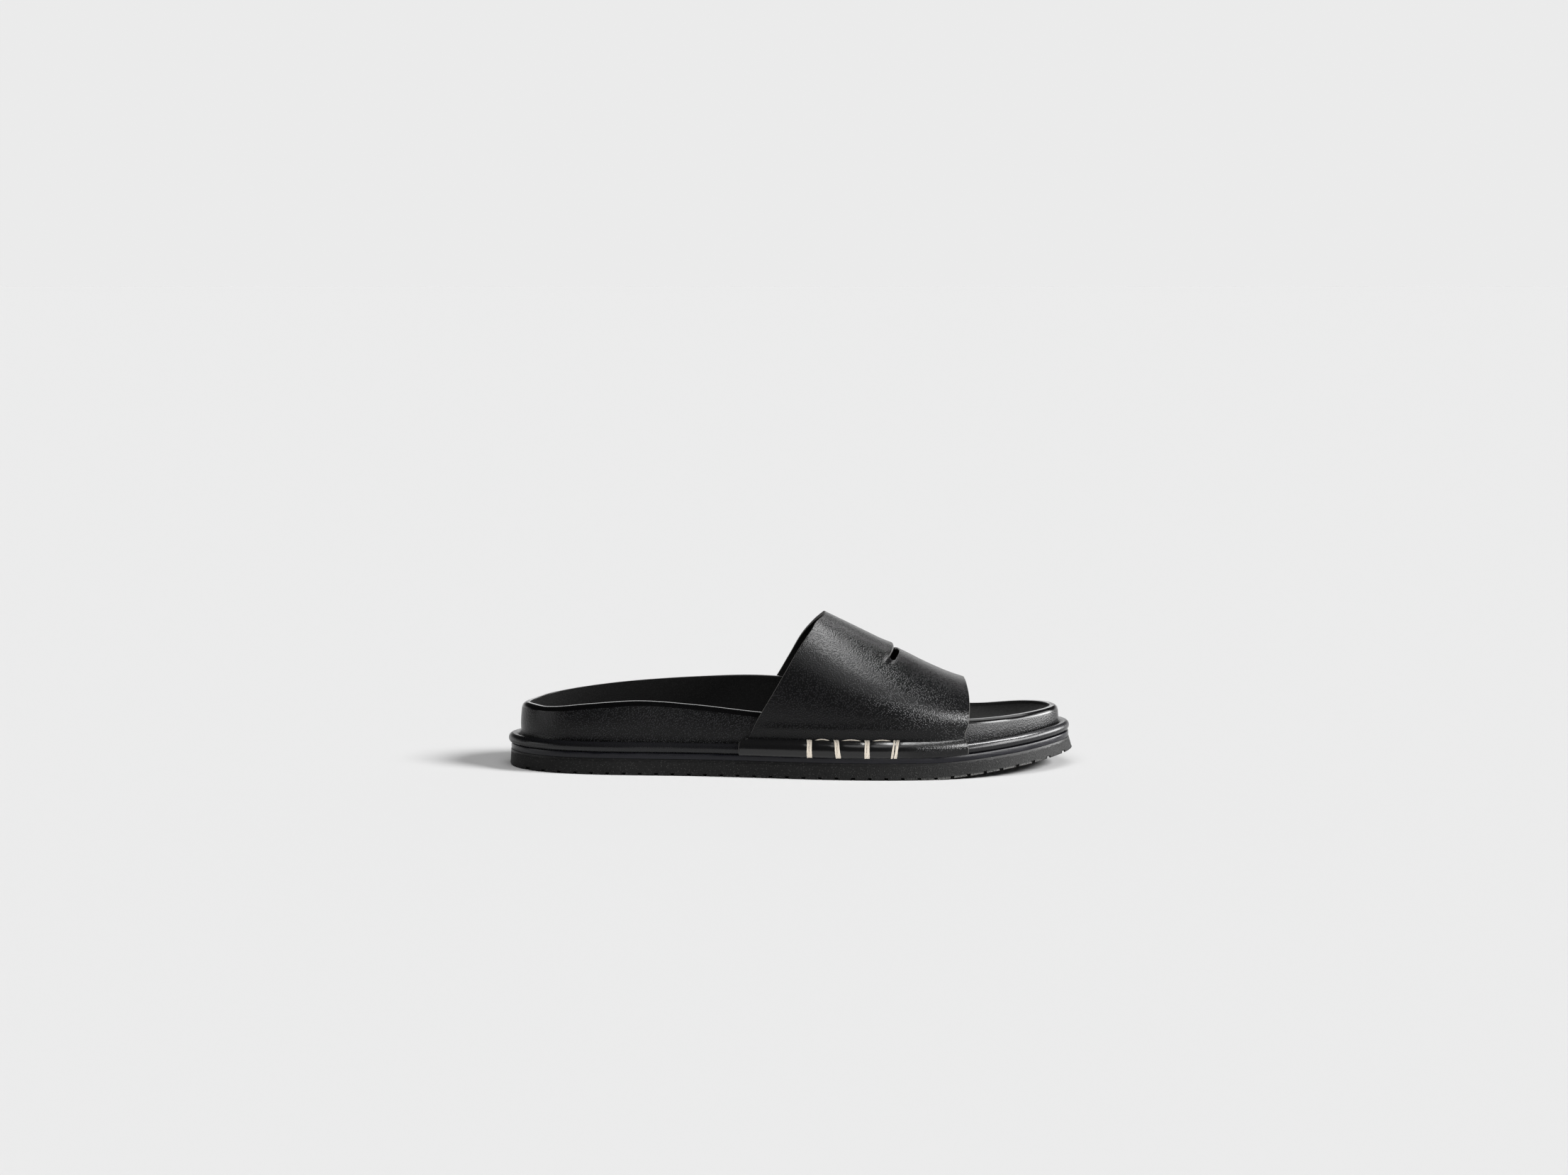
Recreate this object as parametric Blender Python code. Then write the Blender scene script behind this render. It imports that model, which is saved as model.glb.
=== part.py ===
"""Black leather loafer slide for the right foot, standing on its sole.

Lengths are millimetres until a mesh is made. +X runs from heel to toe, +Y from the outer side of the
foot to the inner side, +Z up from the floor. The origin is on the floor, in the middle of the shoe.
"""

import math

import bmesh
import bpy
import numpy as np

MM = 0.001

# The two sides of the foot, as the sign of y.
OUTER = -1
INNER = 1


class Table:
    """Rows of numbers under named columns: the first rises, and each other is a smooth curve over it."""

    def __init__(self, columns, *rows):
        values = np.array(rows, float).T
        self.knots = values[0]
        self.columns = dict(zip(columns.split(), values))

    def at(self, column, x):
        """Value of a column at x: a cubic between two rows, with slopes from their neighbours."""
        knots, values = self.knots, self.columns[column]
        x = np.clip(x, knots[0], knots[-1])
        slope = np.gradient(values, knots)
        i = np.clip(np.searchsorted(knots, x, side="right") - 1, 0, len(knots) - 2)
        span = knots[i + 1] - knots[i]
        t = (x - knots[i]) / span
        start = values[i] * (1 + 2 * t) * (1 - t) ** 2 + slope[i] * span * t * (1 - t) ** 2
        end = values[i + 1] * t**2 * (3 - 2 * t) + slope[i + 1] * span * t**2 * (t - 1)
        return start + end


# Stack of the sole, as heights above its spring line.
SEAM_GAP = 0.3
OUTSOLE_THICK = 8.3
MIDSOLE_THICK = 2.7
MIDSOLE_TOP = OUTSOLE_THICK + SEAM_GAP + MIDSOLE_THICK
FOOTBED_BASE = MIDSOLE_TOP + SEAM_GAP

# Outline of the outsole's upper edge from above: heel end, then outer side, toe and inner side.
SOLE_PLAN = (
    # x, y
    (-143.4, 3.5),
    (-131.0, -19.5),
    (-105.0, -31.5),
    (-60.0, -36.5),
    (-20.0, -42.2),
    (15.0, -48.9),
    (45.0, -51.4),
    (80.0, -47.8),
    (112.0, -35.0),
    (133.0, -15.5),
    (142.8, 6.0),
    (137.0, 26.5),
    (115.0, 43.0),
    (75.0, 51.5),
    (30.0, 47.0),
    (-15.0, 38.2),
    (-55.0, 35.0),
    (-105.0, 37.5),
    (-131.0, 26.5),
)
STATIONS = 40
DENSE_SAMPLES = 2400
CAP_STEPS = 2

# Toe spring of the outsole's underside and of the layers above it, and the bevel under the heel's back.
SPRING_START = 68.0
SPRING_END = 143.0
SPRING_EASE = 0.2
UNDERSIDE_SPRING = 8.0
UPPER_SPRING = 6.0
HEEL_BEVEL_START = -128.0
HEEL_BEVEL_LENGTH = 16.0
HEEL_BEVEL_HEIGHT = 1.0

# Side of the outsole: how far its foot stands out past its upper edge, and its rounded edges.
FLARE_HEEL = 0.4
FLARE_TOE = 1.6
FLARE_POWER = 3
OUTSOLE_EDGE = 0.7
MIDSOLE_INSET = 1.0
MIDSOLE_EDGE = 0.4

# Tread: straight grooves across the sole, open at both edges.
GROOVE_PITCH = 8.2
GROOVE_WIDTH = 1.7
GROOVE_DEPTH = 1.2
GROOVE_FIRST = -133.1
GROOVE_COUNT = 34
GROOVE_REACH = 70.0

# Leather piping that runs round the foot of the footbed.
PIPING_RADIUS = 2.5
PIPING_INSET = 1.4
PIPING_TOE_INSET = 1.1
PIPING_TOE_POWER = 3
PIPING_BEVEL_STEPS = 3
PIPING_CENTRE = MIDSOLE_TOP + SEAM_GAP + PIPING_RADIUS

# Footbed: its wall, its rounded rim, and the height of rim and hollow above the floor.
WALL_INSET = 5.45
WALL_FOOT_RISE = 5.0
WALL_FOOT_EDGE = 0.6
RIM_RADIUS = 3.0
RIM_TURN = math.radians(150.0)
RIM_STEPS = 6
DISH_STEPS = 10
DISH_POWER = 2.6
DISH_END_RUN = 34.0
FOOTBED_HEIGHTS = Table(
    "x outer_rim inner_rim hollow",
    (-139.0, 32.0, 32.2, 22.2),
    (-124.0, 32.1, 34.4, 21.8),
    (-100.0, 34.9, 37.6, 21.5),
    (-78.0, 36.6, 40.1, 21.8),
    (-48.0, 35.0, 42.3, 23.4),
    (-18.0, 32.2, 42.7, 24.6),
    (20.0, 30.2, 38.4, 23.2),
    (60.0, 29.0, 30.2, 21.4),
    (94.0, 28.8, 26.4, 21.6),
    (122.0, 29.7, 29.3, 23.4),
    (137.5, 30.4, 30.7, 24.6),
)

# Strap: a leather band whose lower edges roll outwards over the piping.
STRAP_THICK = 1.4
STRAP_CROWN_THICKER = 0.3
STRAP_INSET = 3.7
HEM_RADIUS = PIPING_RADIUS + SEAM_GAP + STRAP_THICK
HEM_BULGE = 1.2
HEM_LIP_TURN = math.radians(-42.0)
HEM_STEPS = 8
CREASE_STEPS = 2
CREASE_DROP = 1.6
WALL_BELOW_RIM = 3.0
WALL_STEPS = 2
ARCH_STEPS = 10
STRAP_COLUMNS = 16
EDGE_HALVINGS = 40
CROWN_Y = 3.0
STRAP_SECTIONS = Table(
    "x crown outer_fullness inner_fullness",
    (-30.0, 101.6, 2.1, 2.4),
    (17.3, 78.5, 2.15, 2.4),
    (52.0, 61.2, 2.15, 2.35),
    (67.0, 53.2, 2.2, 2.3),
    (81.5, 46.7, 2.3, 2.3),
    (95.0, 42.2, 2.35, 2.35),
)
BACK_EDGE = Table(
    "z outer_x inner_x",
    (11.0, -26.0, -26.0),
    (16.5, -26.0, -26.0),
    (18.3, -25.2, -25.2),
    (19.3, -21.9, -21.9),
    (20.6, -20.6, -20.6),
    (23.0, -19.5, -19.2),
    (26.6, -17.9, -17.0),
    (32.3, -14.7, -13.4),
    (42.0, -9.0, -7.0),
    (52.4, -3.0, -0.9),
    (66.0, 5.3, 7.1),
    (72.5, 10.3, 12.4),
    (76.6, 13.7, 16.0),
    (78.5, 17.3, 17.3),
    (101.0, 33.2, 33.2),
)
FRONT_EDGE = Table(
    "z outer_x inner_x",
    (11.0, 88.2, 88.2),
    (16.5, 88.2, 88.2),
    (20.5, 86.9, 86.9),
    (27.0, 88.6, 88.6),
    (34.0, 89.3, 89.3),
    (40.0, 89.5, 89.5),
    (44.5, 89.2, 89.2),
)

# Keeper slit across the top of the strap, swept back at its two ends.
SLIT_X = 54.0
SLIT_HALF_LENGTH = 26.5
SLIT_WIDTH = 3.2
SLIT_SWEEP = 1.8
SLIT_STEPS = 8
SLIT_CUT_HALF_DEPTH = 12.0
SLOPE_STEP = 1.0

# Meshing: points closer than this are one, and a sharper fold than this keeps its edge.
MERGE_DISTANCE = 0.0001
SMOOTH_ANGLE = math.radians(40.0)

# Colour as linear red, green and blue, then roughness.
BLACK_LEATHER = ((0.012, 0.012, 0.013), 0.45)
LINING_LEATHER = ((0.010, 0.010, 0.010), 0.6)
BLACK_RUBBER = ((0.018, 0.018, 0.018), 0.8)
EDGE_LACQUER = ((0.010, 0.010, 0.012), 0.3)


def closed_curve(points, samples):
    """Samples of the smooth closed curve through the points: a periodic cubic spline over chord length."""
    p = np.array(points, float)
    n = len(p)
    after = np.roll(p, -1, axis=0) - p
    step = np.linalg.norm(after, axis=1)
    slope = after / step[:, None]
    system = np.zeros((n, n))
    for i in range(n):
        system[i, i - 1] += step[i - 1]
        system[i, i] += 2.0 * (step[i - 1] + step[i])
        system[i, (i + 1) % n] += step[i]
    bend = np.linalg.solve(system, 6.0 * (slope - np.roll(slope, 1, axis=0)))
    knots = np.concatenate([[0.0], np.cumsum(step)])
    t = np.linspace(0.0, knots[-1], samples, endpoint=False)
    i = np.searchsorted(knots, t, side="right") - 1
    j = (i + 1) % n
    b = ((t - knots[i]) / step[i])[:, None]
    a = 1.0 - b
    h2 = (step[i] ** 2)[:, None] / 6.0
    return a * p[i] + b * p[j] + ((a**3 - a) * bend[i] + (b**3 - b) * bend[j]) * h2


def toe_spring(x):
    """Share of the toe spring reached at x: 0 up to the ball, a soft start, then a straight climb to 1."""
    along = np.clip((x - SPRING_START) / (SPRING_END - SPRING_START), 0.0, None)
    return (np.hypot(along, SPRING_EASE) - SPRING_EASE) / (math.hypot(1.0, SPRING_EASE) - SPRING_EASE)


def underside(x):
    """Height of the outsole's underside above the floor."""
    behind = np.clip((HEEL_BEVEL_START - x) / HEEL_BEVEL_LENGTH, 0.0, None)
    return UNDERSIDE_SPRING * toe_spring(x) + HEEL_BEVEL_HEIGHT * behind**2


def upper_rise(x):
    """Rise of the layers above the outsole, less than its underside's because it thins towards the toe."""
    return UPPER_SPRING * toe_spring(x)


class Plan:
    """The sole's outline as two chains of stations, the outer side and the inner side, from heel to toe."""

    def __init__(self):
        curve = closed_curve(SOLE_PLAN, DENSE_SAMPLES)
        curve = np.roll(curve, -int(curve[:, 0].argmin()), axis=0)
        ahead = np.roll(curve, -1, axis=0) - np.roll(curve, 1, axis=0)
        ahead /= np.linalg.norm(ahead, axis=1)[:, None]
        outward = np.stack([ahead[:, 1], -ahead[:, 0]], axis=1)
        toe = int(curve[:, 0].argmax())
        closing = np.r_[np.arange(toe, len(curve)), 0][::-1]
        self.dense = {
            OUTER: (curve[: toe + 1], outward[: toe + 1]),
            INNER: (curve[closing], outward[closing]),
        }
        turn = np.linspace(0.0, math.pi, STATIONS + 1)
        heel_x, toe_x = curve[0, 0], curve[toe, 0]
        self.station_x = (heel_x + toe_x) / 2 - (toe_x - heel_x) / 2 * np.cos(turn)

    def chain(self, side, inset):
        """(x, y) at each station of one side, moved in by inset, which is one value or one a station."""
        curve, outward = self.dense[side]
        at = np.stack([np.interp(self.station_x, curve[:, 0], c) for c in (*curve.T, *outward.T)], axis=1)
        out = at[:, 2:] / np.linalg.norm(at[:, 2:], axis=1)[:, None]
        return at[:, :2] - out * np.reshape(inset, (-1, 1))

    def side_y(self, side, inset, x):
        """y of one side's edge, moved in by inset(x), at any x away from the two ends."""
        curve, outward = self.dense[side]
        moved = curve - outward * inset(curve[:, :1])
        return np.interp(x, moved[:, 0], moved[:, 1])

    def ring(self, inset, height):
        """Closed ring of points, outer chain then inner chain back, with z from height(x, side)."""
        sides = []
        for side in (OUTER, INNER):
            xy = self.chain(side, inset)
            sides.append(np.column_stack([xy, height(xy[:, 0], side)]))
        return np.concatenate([sides[0], sides[1][-2:0:-1]])


def piping_inset(x):
    """How far the piping's middle lies inside the sole's outline, a little more at the toe."""
    heel_x, _ = SOLE_PLAN[0]
    along = np.clip((x - heel_x) / (SPRING_END - heel_x), 0.0, 1.0)
    return PIPING_INSET + PIPING_TOE_INSET * along**PIPING_TOE_POWER


def rim_height(x, side):
    """Height of the footbed's rim above the floor on one side."""
    return FOOTBED_HEIGHTS.at("outer_rim" if side == OUTER else "inner_rim", x)


def across(outer_ring, steps, height):
    """Rows of points from a ring's outer chain to its inner chain, at each station between heel and toe."""
    toe = len(outer_ring) // 2
    rows = []
    for i in range(1, toe):
        a, b = outer_ring[i], outer_ring[-i]
        share = np.linspace(0.0, 1.0, steps + 1)
        row = a + (b - a) * share[:, None]
        rows.append(height(row, share))
    return np.array(rows)


def flat_across(row, share):
    """Leaves a row as it is, straight from side to side."""
    return row


def dish(ring):
    """Function that sinks rows across a ring to the hollow: steep at rims and ends, flat between."""
    heel_x, toe_x = ring[0, 0], ring[len(ring) // 2, 0]

    def sink(row, share):
        from_end = np.minimum(row[:, 0] - heel_x, toe_x - row[:, 0])
        climb = np.clip(1.0 - from_end / DISH_END_RUN, 0.0, 1.0) ** DISH_POWER
        low = FOOTBED_HEIGHTS.at("hollow", row[:, 0])
        low = low + (np.minimum(row[0, 2], row[-1, 2]) - low) * climb
        lean = 2.0 * share - 1.0
        outer = np.clip(-lean, 0.0, None) ** DISH_POWER * (row[0, 2] - low)
        inner = np.clip(lean, 0.0, None) ** DISH_POWER * (row[-1, 2] - low)
        return np.column_stack([row[:, :2], low + outer + inner])

    return sink


def finish_solid(name, mesh_data, finish):
    """Makes the named object from a bmesh in millimetres: closed, facing out, smooth, in its finish."""
    bmesh.ops.remove_doubles(mesh_data, verts=mesh_data.verts, dist=MERGE_DISTANCE)
    bmesh.ops.recalc_face_normals(mesh_data, faces=mesh_data.faces)
    bmesh.ops.scale(mesh_data, vec=(MM, MM, MM), verts=mesh_data.verts)
    mesh = bpy.data.meshes.new(name)
    mesh_data.to_mesh(mesh)
    mesh_data.free()
    mesh.shade_smooth()
    mesh.set_sharp_from_angle(angle=SMOOTH_ANGLE)
    obj = bpy.data.objects.new(name, mesh)
    bpy.context.scene.collection.objects.link(obj)
    if finish is not None:
        mesh.materials.append(material(name, *finish))
    return obj


def material(name, colour, roughness):
    """A plain finish of one colour and roughness."""
    made = bpy.data.materials.new(name)
    made.use_nodes = True
    shader = made.node_tree.nodes["Principled BSDF"]
    shader.inputs["Base Color"].default_value = (*colour, 1.0)
    shader.inputs["Roughness"].default_value = roughness
    return made


def add_strip(mesh_data, first, second, closed):
    """Faces between two rows of vertices of equal length."""
    count = len(first)
    for i in range(count if closed else count - 1):
        j = (i + 1) % count
        mesh_data.faces.new((first[i], first[j], second[j], second[i]))


def add_rows(mesh_data, rows):
    """Vertices for each row of points."""
    return [[mesh_data.verts.new(p) for p in row] for row in rows]


def add_cap(mesh_data, ring, rows):
    """Closes a ring with cross rows, which end on the ring's own stations, and a point at heel and toe."""
    toe = len(ring) // 2
    lines = []
    for i, row in enumerate(rows, start=1):
        middle = [mesh_data.verts.new(p) for p in row[1:-1]]
        lines.append([ring[i], *middle, ring[-i]])
    for line, following in zip(lines, lines[1:]):
        add_strip(mesh_data, line, following, closed=False)
    for end, line in ((ring[0], lines[0]), (ring[toe], lines[-1])):
        for a, b in zip(line, line[1:]):
            mesh_data.faces.new((end, a, b))


def ring_solid(name, rings, bottom_rows, top_rows, finish):
    """A closed solid from rings stacked bottom to top, with a capped first and last ring."""
    made = bmesh.new()
    loops = add_rows(made, rings)
    for lower, upper in zip(loops, loops[1:]):
        add_strip(made, lower, upper, closed=True)
    add_cap(made, loops[0], bottom_rows)
    add_cap(made, loops[-1], top_rows)
    return finish_solid(name, made, finish)


def sole_level(above):
    """Height function of a level in the stack, which follows the toe spring."""
    return lambda x, side: upper_rise(x) + above


def make_outsole(plan):
    """Rubber outsole with toe spring, a side that flares towards the floor, and cut tread grooves."""
    x = plan.station_x
    share = np.clip((x - x[0]) / (x[-1] - x[0]), 0.0, 1.0) ** FLARE_POWER
    flare = FLARE_HEEL + (FLARE_TOE - FLARE_HEEL) * share
    rings = [
        plan.ring(OUTSOLE_EDGE - flare, lambda x, side: underside(x)),
        plan.ring(-flare, lambda x, side: underside(x) + OUTSOLE_EDGE),
        plan.ring(0.0, sole_level(OUTSOLE_THICK - OUTSOLE_EDGE)),
        plan.ring(OUTSOLE_EDGE, sole_level(OUTSOLE_THICK)),
    ]
    caps = [across(ring, CAP_STEPS, flat_across) for ring in (rings[0], rings[-1])]
    sole = ring_solid("outsole", rings, *caps, BLACK_RUBBER)
    cut = sole.modifiers.new("tread", "BOOLEAN")
    cut.operation = "DIFFERENCE"
    cut.object = make_grooves()
    return sole


def make_grooves():
    """One cutter with a bar across the sole for every tread groove, turned to the toe spring's slope."""
    made = bmesh.new()
    half, deep = GROOVE_WIDTH / 2, GROOVE_DEPTH
    for k in range(GROOVE_COUNT):
        x = GROOVE_FIRST + k * GROOVE_PITCH
        slope = (underside(x + half) - underside(x - half)) / GROOVE_WIDTH
        along = np.array([1.0, 0.0, slope]) / math.hypot(1.0, slope)
        up = np.array([-along[2], 0.0, along[0]])
        centre = np.array([x, 0.0, underside(x)])
        ends = []
        for y in (-GROOVE_REACH, GROOVE_REACH):
            corners = ((-half, -deep), (half, -deep), (half, deep), (-half, deep))
            points = [centre + along * a + up * b + np.array([0.0, y, 0.0]) for a, b in corners]
            ends.append([made.verts.new(p) for p in points])
        add_strip(made, ends[0], ends[1], closed=True)
        made.faces.new(ends[0])
        made.faces.new(ends[1])
    return hide_cutter(finish_solid("tread_cutter", made, None))


def hide_cutter(obj):
    """Marks an object as a cutter, which isn't part of the shoe."""
    obj.hide_render = True
    obj.display_type = "WIRE"
    return obj


def make_midsole(plan):
    """Smooth lacquered layer between the outsole and the footbed."""
    low = OUTSOLE_THICK + SEAM_GAP
    rings = [
        plan.ring(MIDSOLE_INSET + MIDSOLE_EDGE, sole_level(low)),
        plan.ring(MIDSOLE_INSET, sole_level(low + MIDSOLE_EDGE)),
        plan.ring(MIDSOLE_INSET, sole_level(MIDSOLE_TOP - MIDSOLE_EDGE)),
        plan.ring(MIDSOLE_INSET + MIDSOLE_EDGE, sole_level(MIDSOLE_TOP)),
    ]
    caps = [across(ring, CAP_STEPS, flat_across) for ring in (rings[0], rings[-1])]
    return ring_solid("midsole", rings, *caps, EDGE_LACQUER)


def make_piping(plan):
    """Round leather-covered cord all the way round the footbed, as one closed curve with a bevel."""
    path = plan.ring(piping_inset(plan.station_x), sole_level(PIPING_CENTRE))
    curve = bpy.data.curves.new("welt_piping", "CURVE")
    curve.dimensions = "3D"
    curve.bevel_depth = PIPING_RADIUS * MM
    curve.bevel_resolution = PIPING_BEVEL_STEPS
    spline = curve.splines.new("POLY")
    spline.points.add(len(path) - 1)
    for point, place in zip(spline.points, path):
        point.co = (*(place * MM), 1.0)
    spline.use_cyclic_u = True
    spline.use_smooth = True
    curve.materials.append(material("welt_piping", *BLACK_LEATHER))
    obj = bpy.data.objects.new("welt_piping", curve)
    bpy.context.scene.collection.objects.link(obj)
    return obj


def make_footbed(plan):
    """Moulded footbed in leather: upright wall, rounded rim, and a hollow with heel cup and arch."""
    foot = piping_inset(plan.station_x) + PIPING_RADIUS + SEAM_GAP
    rings = [
        plan.ring(foot + WALL_FOOT_EDGE, sole_level(FOOTBED_BASE)),
        plan.ring(foot, sole_level(FOOTBED_BASE + WALL_FOOT_EDGE)),
        plan.ring(foot, sole_level(PIPING_CENTRE)),
        plan.ring(WALL_INSET, sole_level(FOOTBED_BASE + WALL_FOOT_RISE)),
    ]
    for turn in np.linspace(0.0, RIM_TURN, RIM_STEPS + 1):
        inset = WALL_INSET + RIM_RADIUS * (1.0 - math.cos(turn))
        drop = RIM_RADIUS * (1.0 - math.sin(turn))
        rings.append(plan.ring(inset, lambda x, side: rim_height(x, side) - drop))
    bottom = across(rings[0], CAP_STEPS, flat_across)
    top = across(rings[-1], DISH_STEPS, dish(rings[-1]))
    return ring_solid("footbed", rings, bottom, top, LINING_LEATHER)


def strap_face(plan, x, v, depth):
    """(y, z) of the strap at x and girth v: -1 at the outer lip, 0 at the crown, 1 at the inner lip.

    The girth falls into three stretches on each side: an arch from the crown to below the footbed's rim,
    an upright wall down to the crease, and the hem rolled outwards over the piping. depth is 0 on the
    outer face and the leather's thickness on the inner face.
    """
    y = np.empty_like(x)
    z = np.empty_like(x)
    reach = np.abs(v) * (ARCH_STEPS + WALL_STEPS + HEM_STEPS)
    crown = STRAP_SECTIONS.at("crown", x)
    for side in (OUTER, INNER):
        here = v <= 0 if side == OUTER else v > 0
        power = 2.0 / STRAP_SECTIONS.at("outer_fullness" if side == OUTER else "inner_fullness", x)
        foot_y = plan.side_y(side, lambda x: STRAP_INSET, x)
        wall_top = rim_height(x, side) - WALL_BELOW_RIM
        pipe_y = plan.side_y(side, piping_inset, x)
        pipe_z = upper_rise(x) + PIPING_CENTRE
        back = np.abs(pipe_y - foot_y)
        crease_turn = math.pi - np.arcsin(np.sqrt(1.0 - (back / (HEM_RADIUS + HEM_BULGE)) ** 2))
        crease_z = pipe_z + np.sqrt((HEM_RADIUS + HEM_BULGE) ** 2 - back**2)

        turn = np.clip(1.0 - reach / ARCH_STEPS, 0.0, 1.0) * math.pi / 2
        width = np.abs(foot_y - CROWN_Y)
        rise = crown - wall_top
        c, s = np.cos(turn), np.sin(turn)
        arch_y = width * c**power
        arch_z = wall_top + rise * s**power
        lean_y = c ** (2.0 - power) / width
        lean_z = s ** (2.0 - power) / rise
        size = np.hypot(lean_y, lean_z)
        in_arch = depth * (1.0 + STRAP_CROWN_THICKER * s)
        arch_y = arch_y - in_arch * lean_y / size
        arch_z = arch_z - in_arch * lean_z / size

        down = np.clip((reach - ARCH_STEPS) / WALL_STEPS, 0.0, 1.0)
        low_z = crease_z - CREASE_DROP * depth / STRAP_THICK
        wall_z = wall_top + (low_z - wall_top) * down

        roll = np.clip((reach - ARCH_STEPS - WALL_STEPS) / HEM_STEPS, 0.0, 1.0)
        angle = crease_turn + (HEM_LIP_TURN - crease_turn) * roll
        swell = HEM_BULGE * np.clip(np.sin(angle), 0.0, 1.0) ** 2
        swell = swell + (HEM_BULGE - swell) * np.clip(1.0 - roll * HEM_STEPS / CREASE_STEPS, 0.0, 1.0)
        radius = HEM_RADIUS + swell - depth
        hem_y = np.abs(pipe_y - CROWN_Y) + radius * np.cos(angle)
        hem_z = pipe_z + radius * np.sin(angle)

        out = np.where(reach <= ARCH_STEPS, arch_y, np.where(roll > 0, hem_y, width - depth))
        up = np.where(reach <= ARCH_STEPS, arch_z, np.where(roll > 0, hem_z, wall_z))
        y = np.where(here, CROWN_Y + side * out, y)
        z = np.where(here, up, z)
    return y, z


def edge_x(plan, v, edge):
    """x where the strap's outer face meets a cut edge, given as x over height, found by halving."""
    low = np.full_like(v, STRAP_SECTIONS.knots[0])
    high = np.full_like(v, STRAP_SECTIONS.knots[-1])
    for _ in range(EDGE_HALVINGS):
        x = (low + high) / 2
        _, z = strap_face(plan, x, v, np.zeros_like(v))
        inside = x < np.where(v > 0, edge.at("inner_x", z), edge.at("outer_x", z))
        low = np.where(inside, x, low)
        high = np.where(inside, high, x)
    return (low + high) / 2


def make_strap(plan):
    """The upper: one leather wall from hem to hem, open under the arch, at the toe and at the heel."""
    half = ARCH_STEPS + WALL_STEPS + HEM_STEPS
    v = np.linspace(-1.0, 1.0, 2 * half + 1)
    back, front = edge_x(plan, v, BACK_EDGE), edge_x(plan, v, FRONT_EDGE)
    made = bmesh.new()
    faces = []
    for depth in (0.0, STRAP_THICK):
        rows = []
        for u in np.linspace(0.0, 1.0, STRAP_COLUMNS + 1):
            x = back + (front - back) * u
            y, z = strap_face(plan, x, v, np.full_like(v, depth))
            rows.append(np.column_stack([x, y, z]))
        faces.append(add_rows(made, rows))
    outer, inner = faces
    for face in faces:
        for row, following in zip(face, face[1:]):
            add_strip(made, row, following, closed=False)
    for column in (0, -1):
        add_strip(made, outer[column], inner[column], closed=False)
        add_strip(made, [row[column] for row in outer], [row[column] for row in inner], closed=False)
    strap = finish_solid("strap", made, BLACK_LEATHER)
    cut = strap.modifiers.new("keeper_slit", "BOOLEAN")
    cut.operation = "DIFFERENCE"
    cut.object = make_slit()
    return strap


def make_slit():
    """Cutter for the keeper slit: a bar square to the crown, bent back towards its two ends."""
    crown, ahead = STRAP_SECTIONS.at("crown", np.array([SLIT_X, SLIT_X + SLOPE_STEP]))
    slope = (ahead - crown) / SLOPE_STEP
    along = np.array([1.0, 0.0, slope]) / math.hypot(1.0, slope)
    up = np.array([-along[2], 0.0, along[0]])
    made = bmesh.new()
    rings = []
    for share in np.linspace(-1.0, 1.0, SLIT_STEPS + 1):
        middle = np.array([SLIT_X, CROWN_Y + share * SLIT_HALF_LENGTH, crown])
        centre = middle - along * SLIT_SWEEP * share**2
        half, deep = SLIT_WIDTH / 2, SLIT_CUT_HALF_DEPTH
        corners = ((-half, -deep), (half, -deep), (half, deep), (-half, deep))
        rings.append([made.verts.new(centre + along * a + up * b) for a, b in corners])
    for ring, following in zip(rings, rings[1:]):
        add_strip(made, ring, following, closed=True)
    made.faces.new(rings[0])
    made.faces.new(rings[-1])
    return hide_cutter(finish_solid("slit_cutter", made, None))


def main():
    """Clears the scene and builds the shoe's pieces from the floor up."""
    for obj in list(bpy.data.objects):
        bpy.data.objects.remove(obj)
    plan = Plan()
    make_outsole(plan)
    make_midsole(plan)
    make_piping(plan)
    make_footbed(plan)
    make_strap(plan)


if __name__ == "__main__":
    main()
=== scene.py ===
"""Looks of a black leather loafer slide for the right foot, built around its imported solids.

Lengths are millimetres until a mesh is made. +X runs from heel to toe, +Y from the outer side of the
foot to the inner side, +Z up from the floor. The origin is on the floor, in the middle of the shoe.
"""

import logging
import math
from dataclasses import dataclass, field
from enum import Enum
from typing import Callable

import bmesh
import bpy
import numpy as np
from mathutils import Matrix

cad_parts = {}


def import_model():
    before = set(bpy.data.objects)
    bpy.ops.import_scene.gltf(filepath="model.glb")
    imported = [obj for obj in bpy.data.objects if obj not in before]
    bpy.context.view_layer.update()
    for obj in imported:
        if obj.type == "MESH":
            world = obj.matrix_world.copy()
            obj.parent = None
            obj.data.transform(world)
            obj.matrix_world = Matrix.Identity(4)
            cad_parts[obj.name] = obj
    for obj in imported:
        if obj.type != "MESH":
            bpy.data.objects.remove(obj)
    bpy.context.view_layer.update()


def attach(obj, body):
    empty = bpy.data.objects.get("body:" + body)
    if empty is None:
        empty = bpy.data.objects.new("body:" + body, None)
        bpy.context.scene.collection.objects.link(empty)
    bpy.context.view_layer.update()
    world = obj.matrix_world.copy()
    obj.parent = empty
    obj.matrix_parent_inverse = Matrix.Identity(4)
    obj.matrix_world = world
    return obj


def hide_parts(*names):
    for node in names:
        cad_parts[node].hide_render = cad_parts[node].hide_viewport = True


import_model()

MM = 0.001
BODY = "root"
WELD_DISTANCE = 0.003
HeightRule = Callable[[np.ndarray, "Side"], np.ndarray]
Socket = bpy.types.NodeSocket
Colour = tuple[float, float, float]
Shades = tuple[float, float]
Place = tuple[float, float, float]
WHITE = (1.0, 1.0, 1.0)

logging.basicConfig(level=logging.INFO, format="%(message)s")
log = logging.getLogger("slide")


class Side(Enum):
    """The two sides of the foot, as the sign of y."""

    OUTER = -1
    INNER = 1


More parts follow.
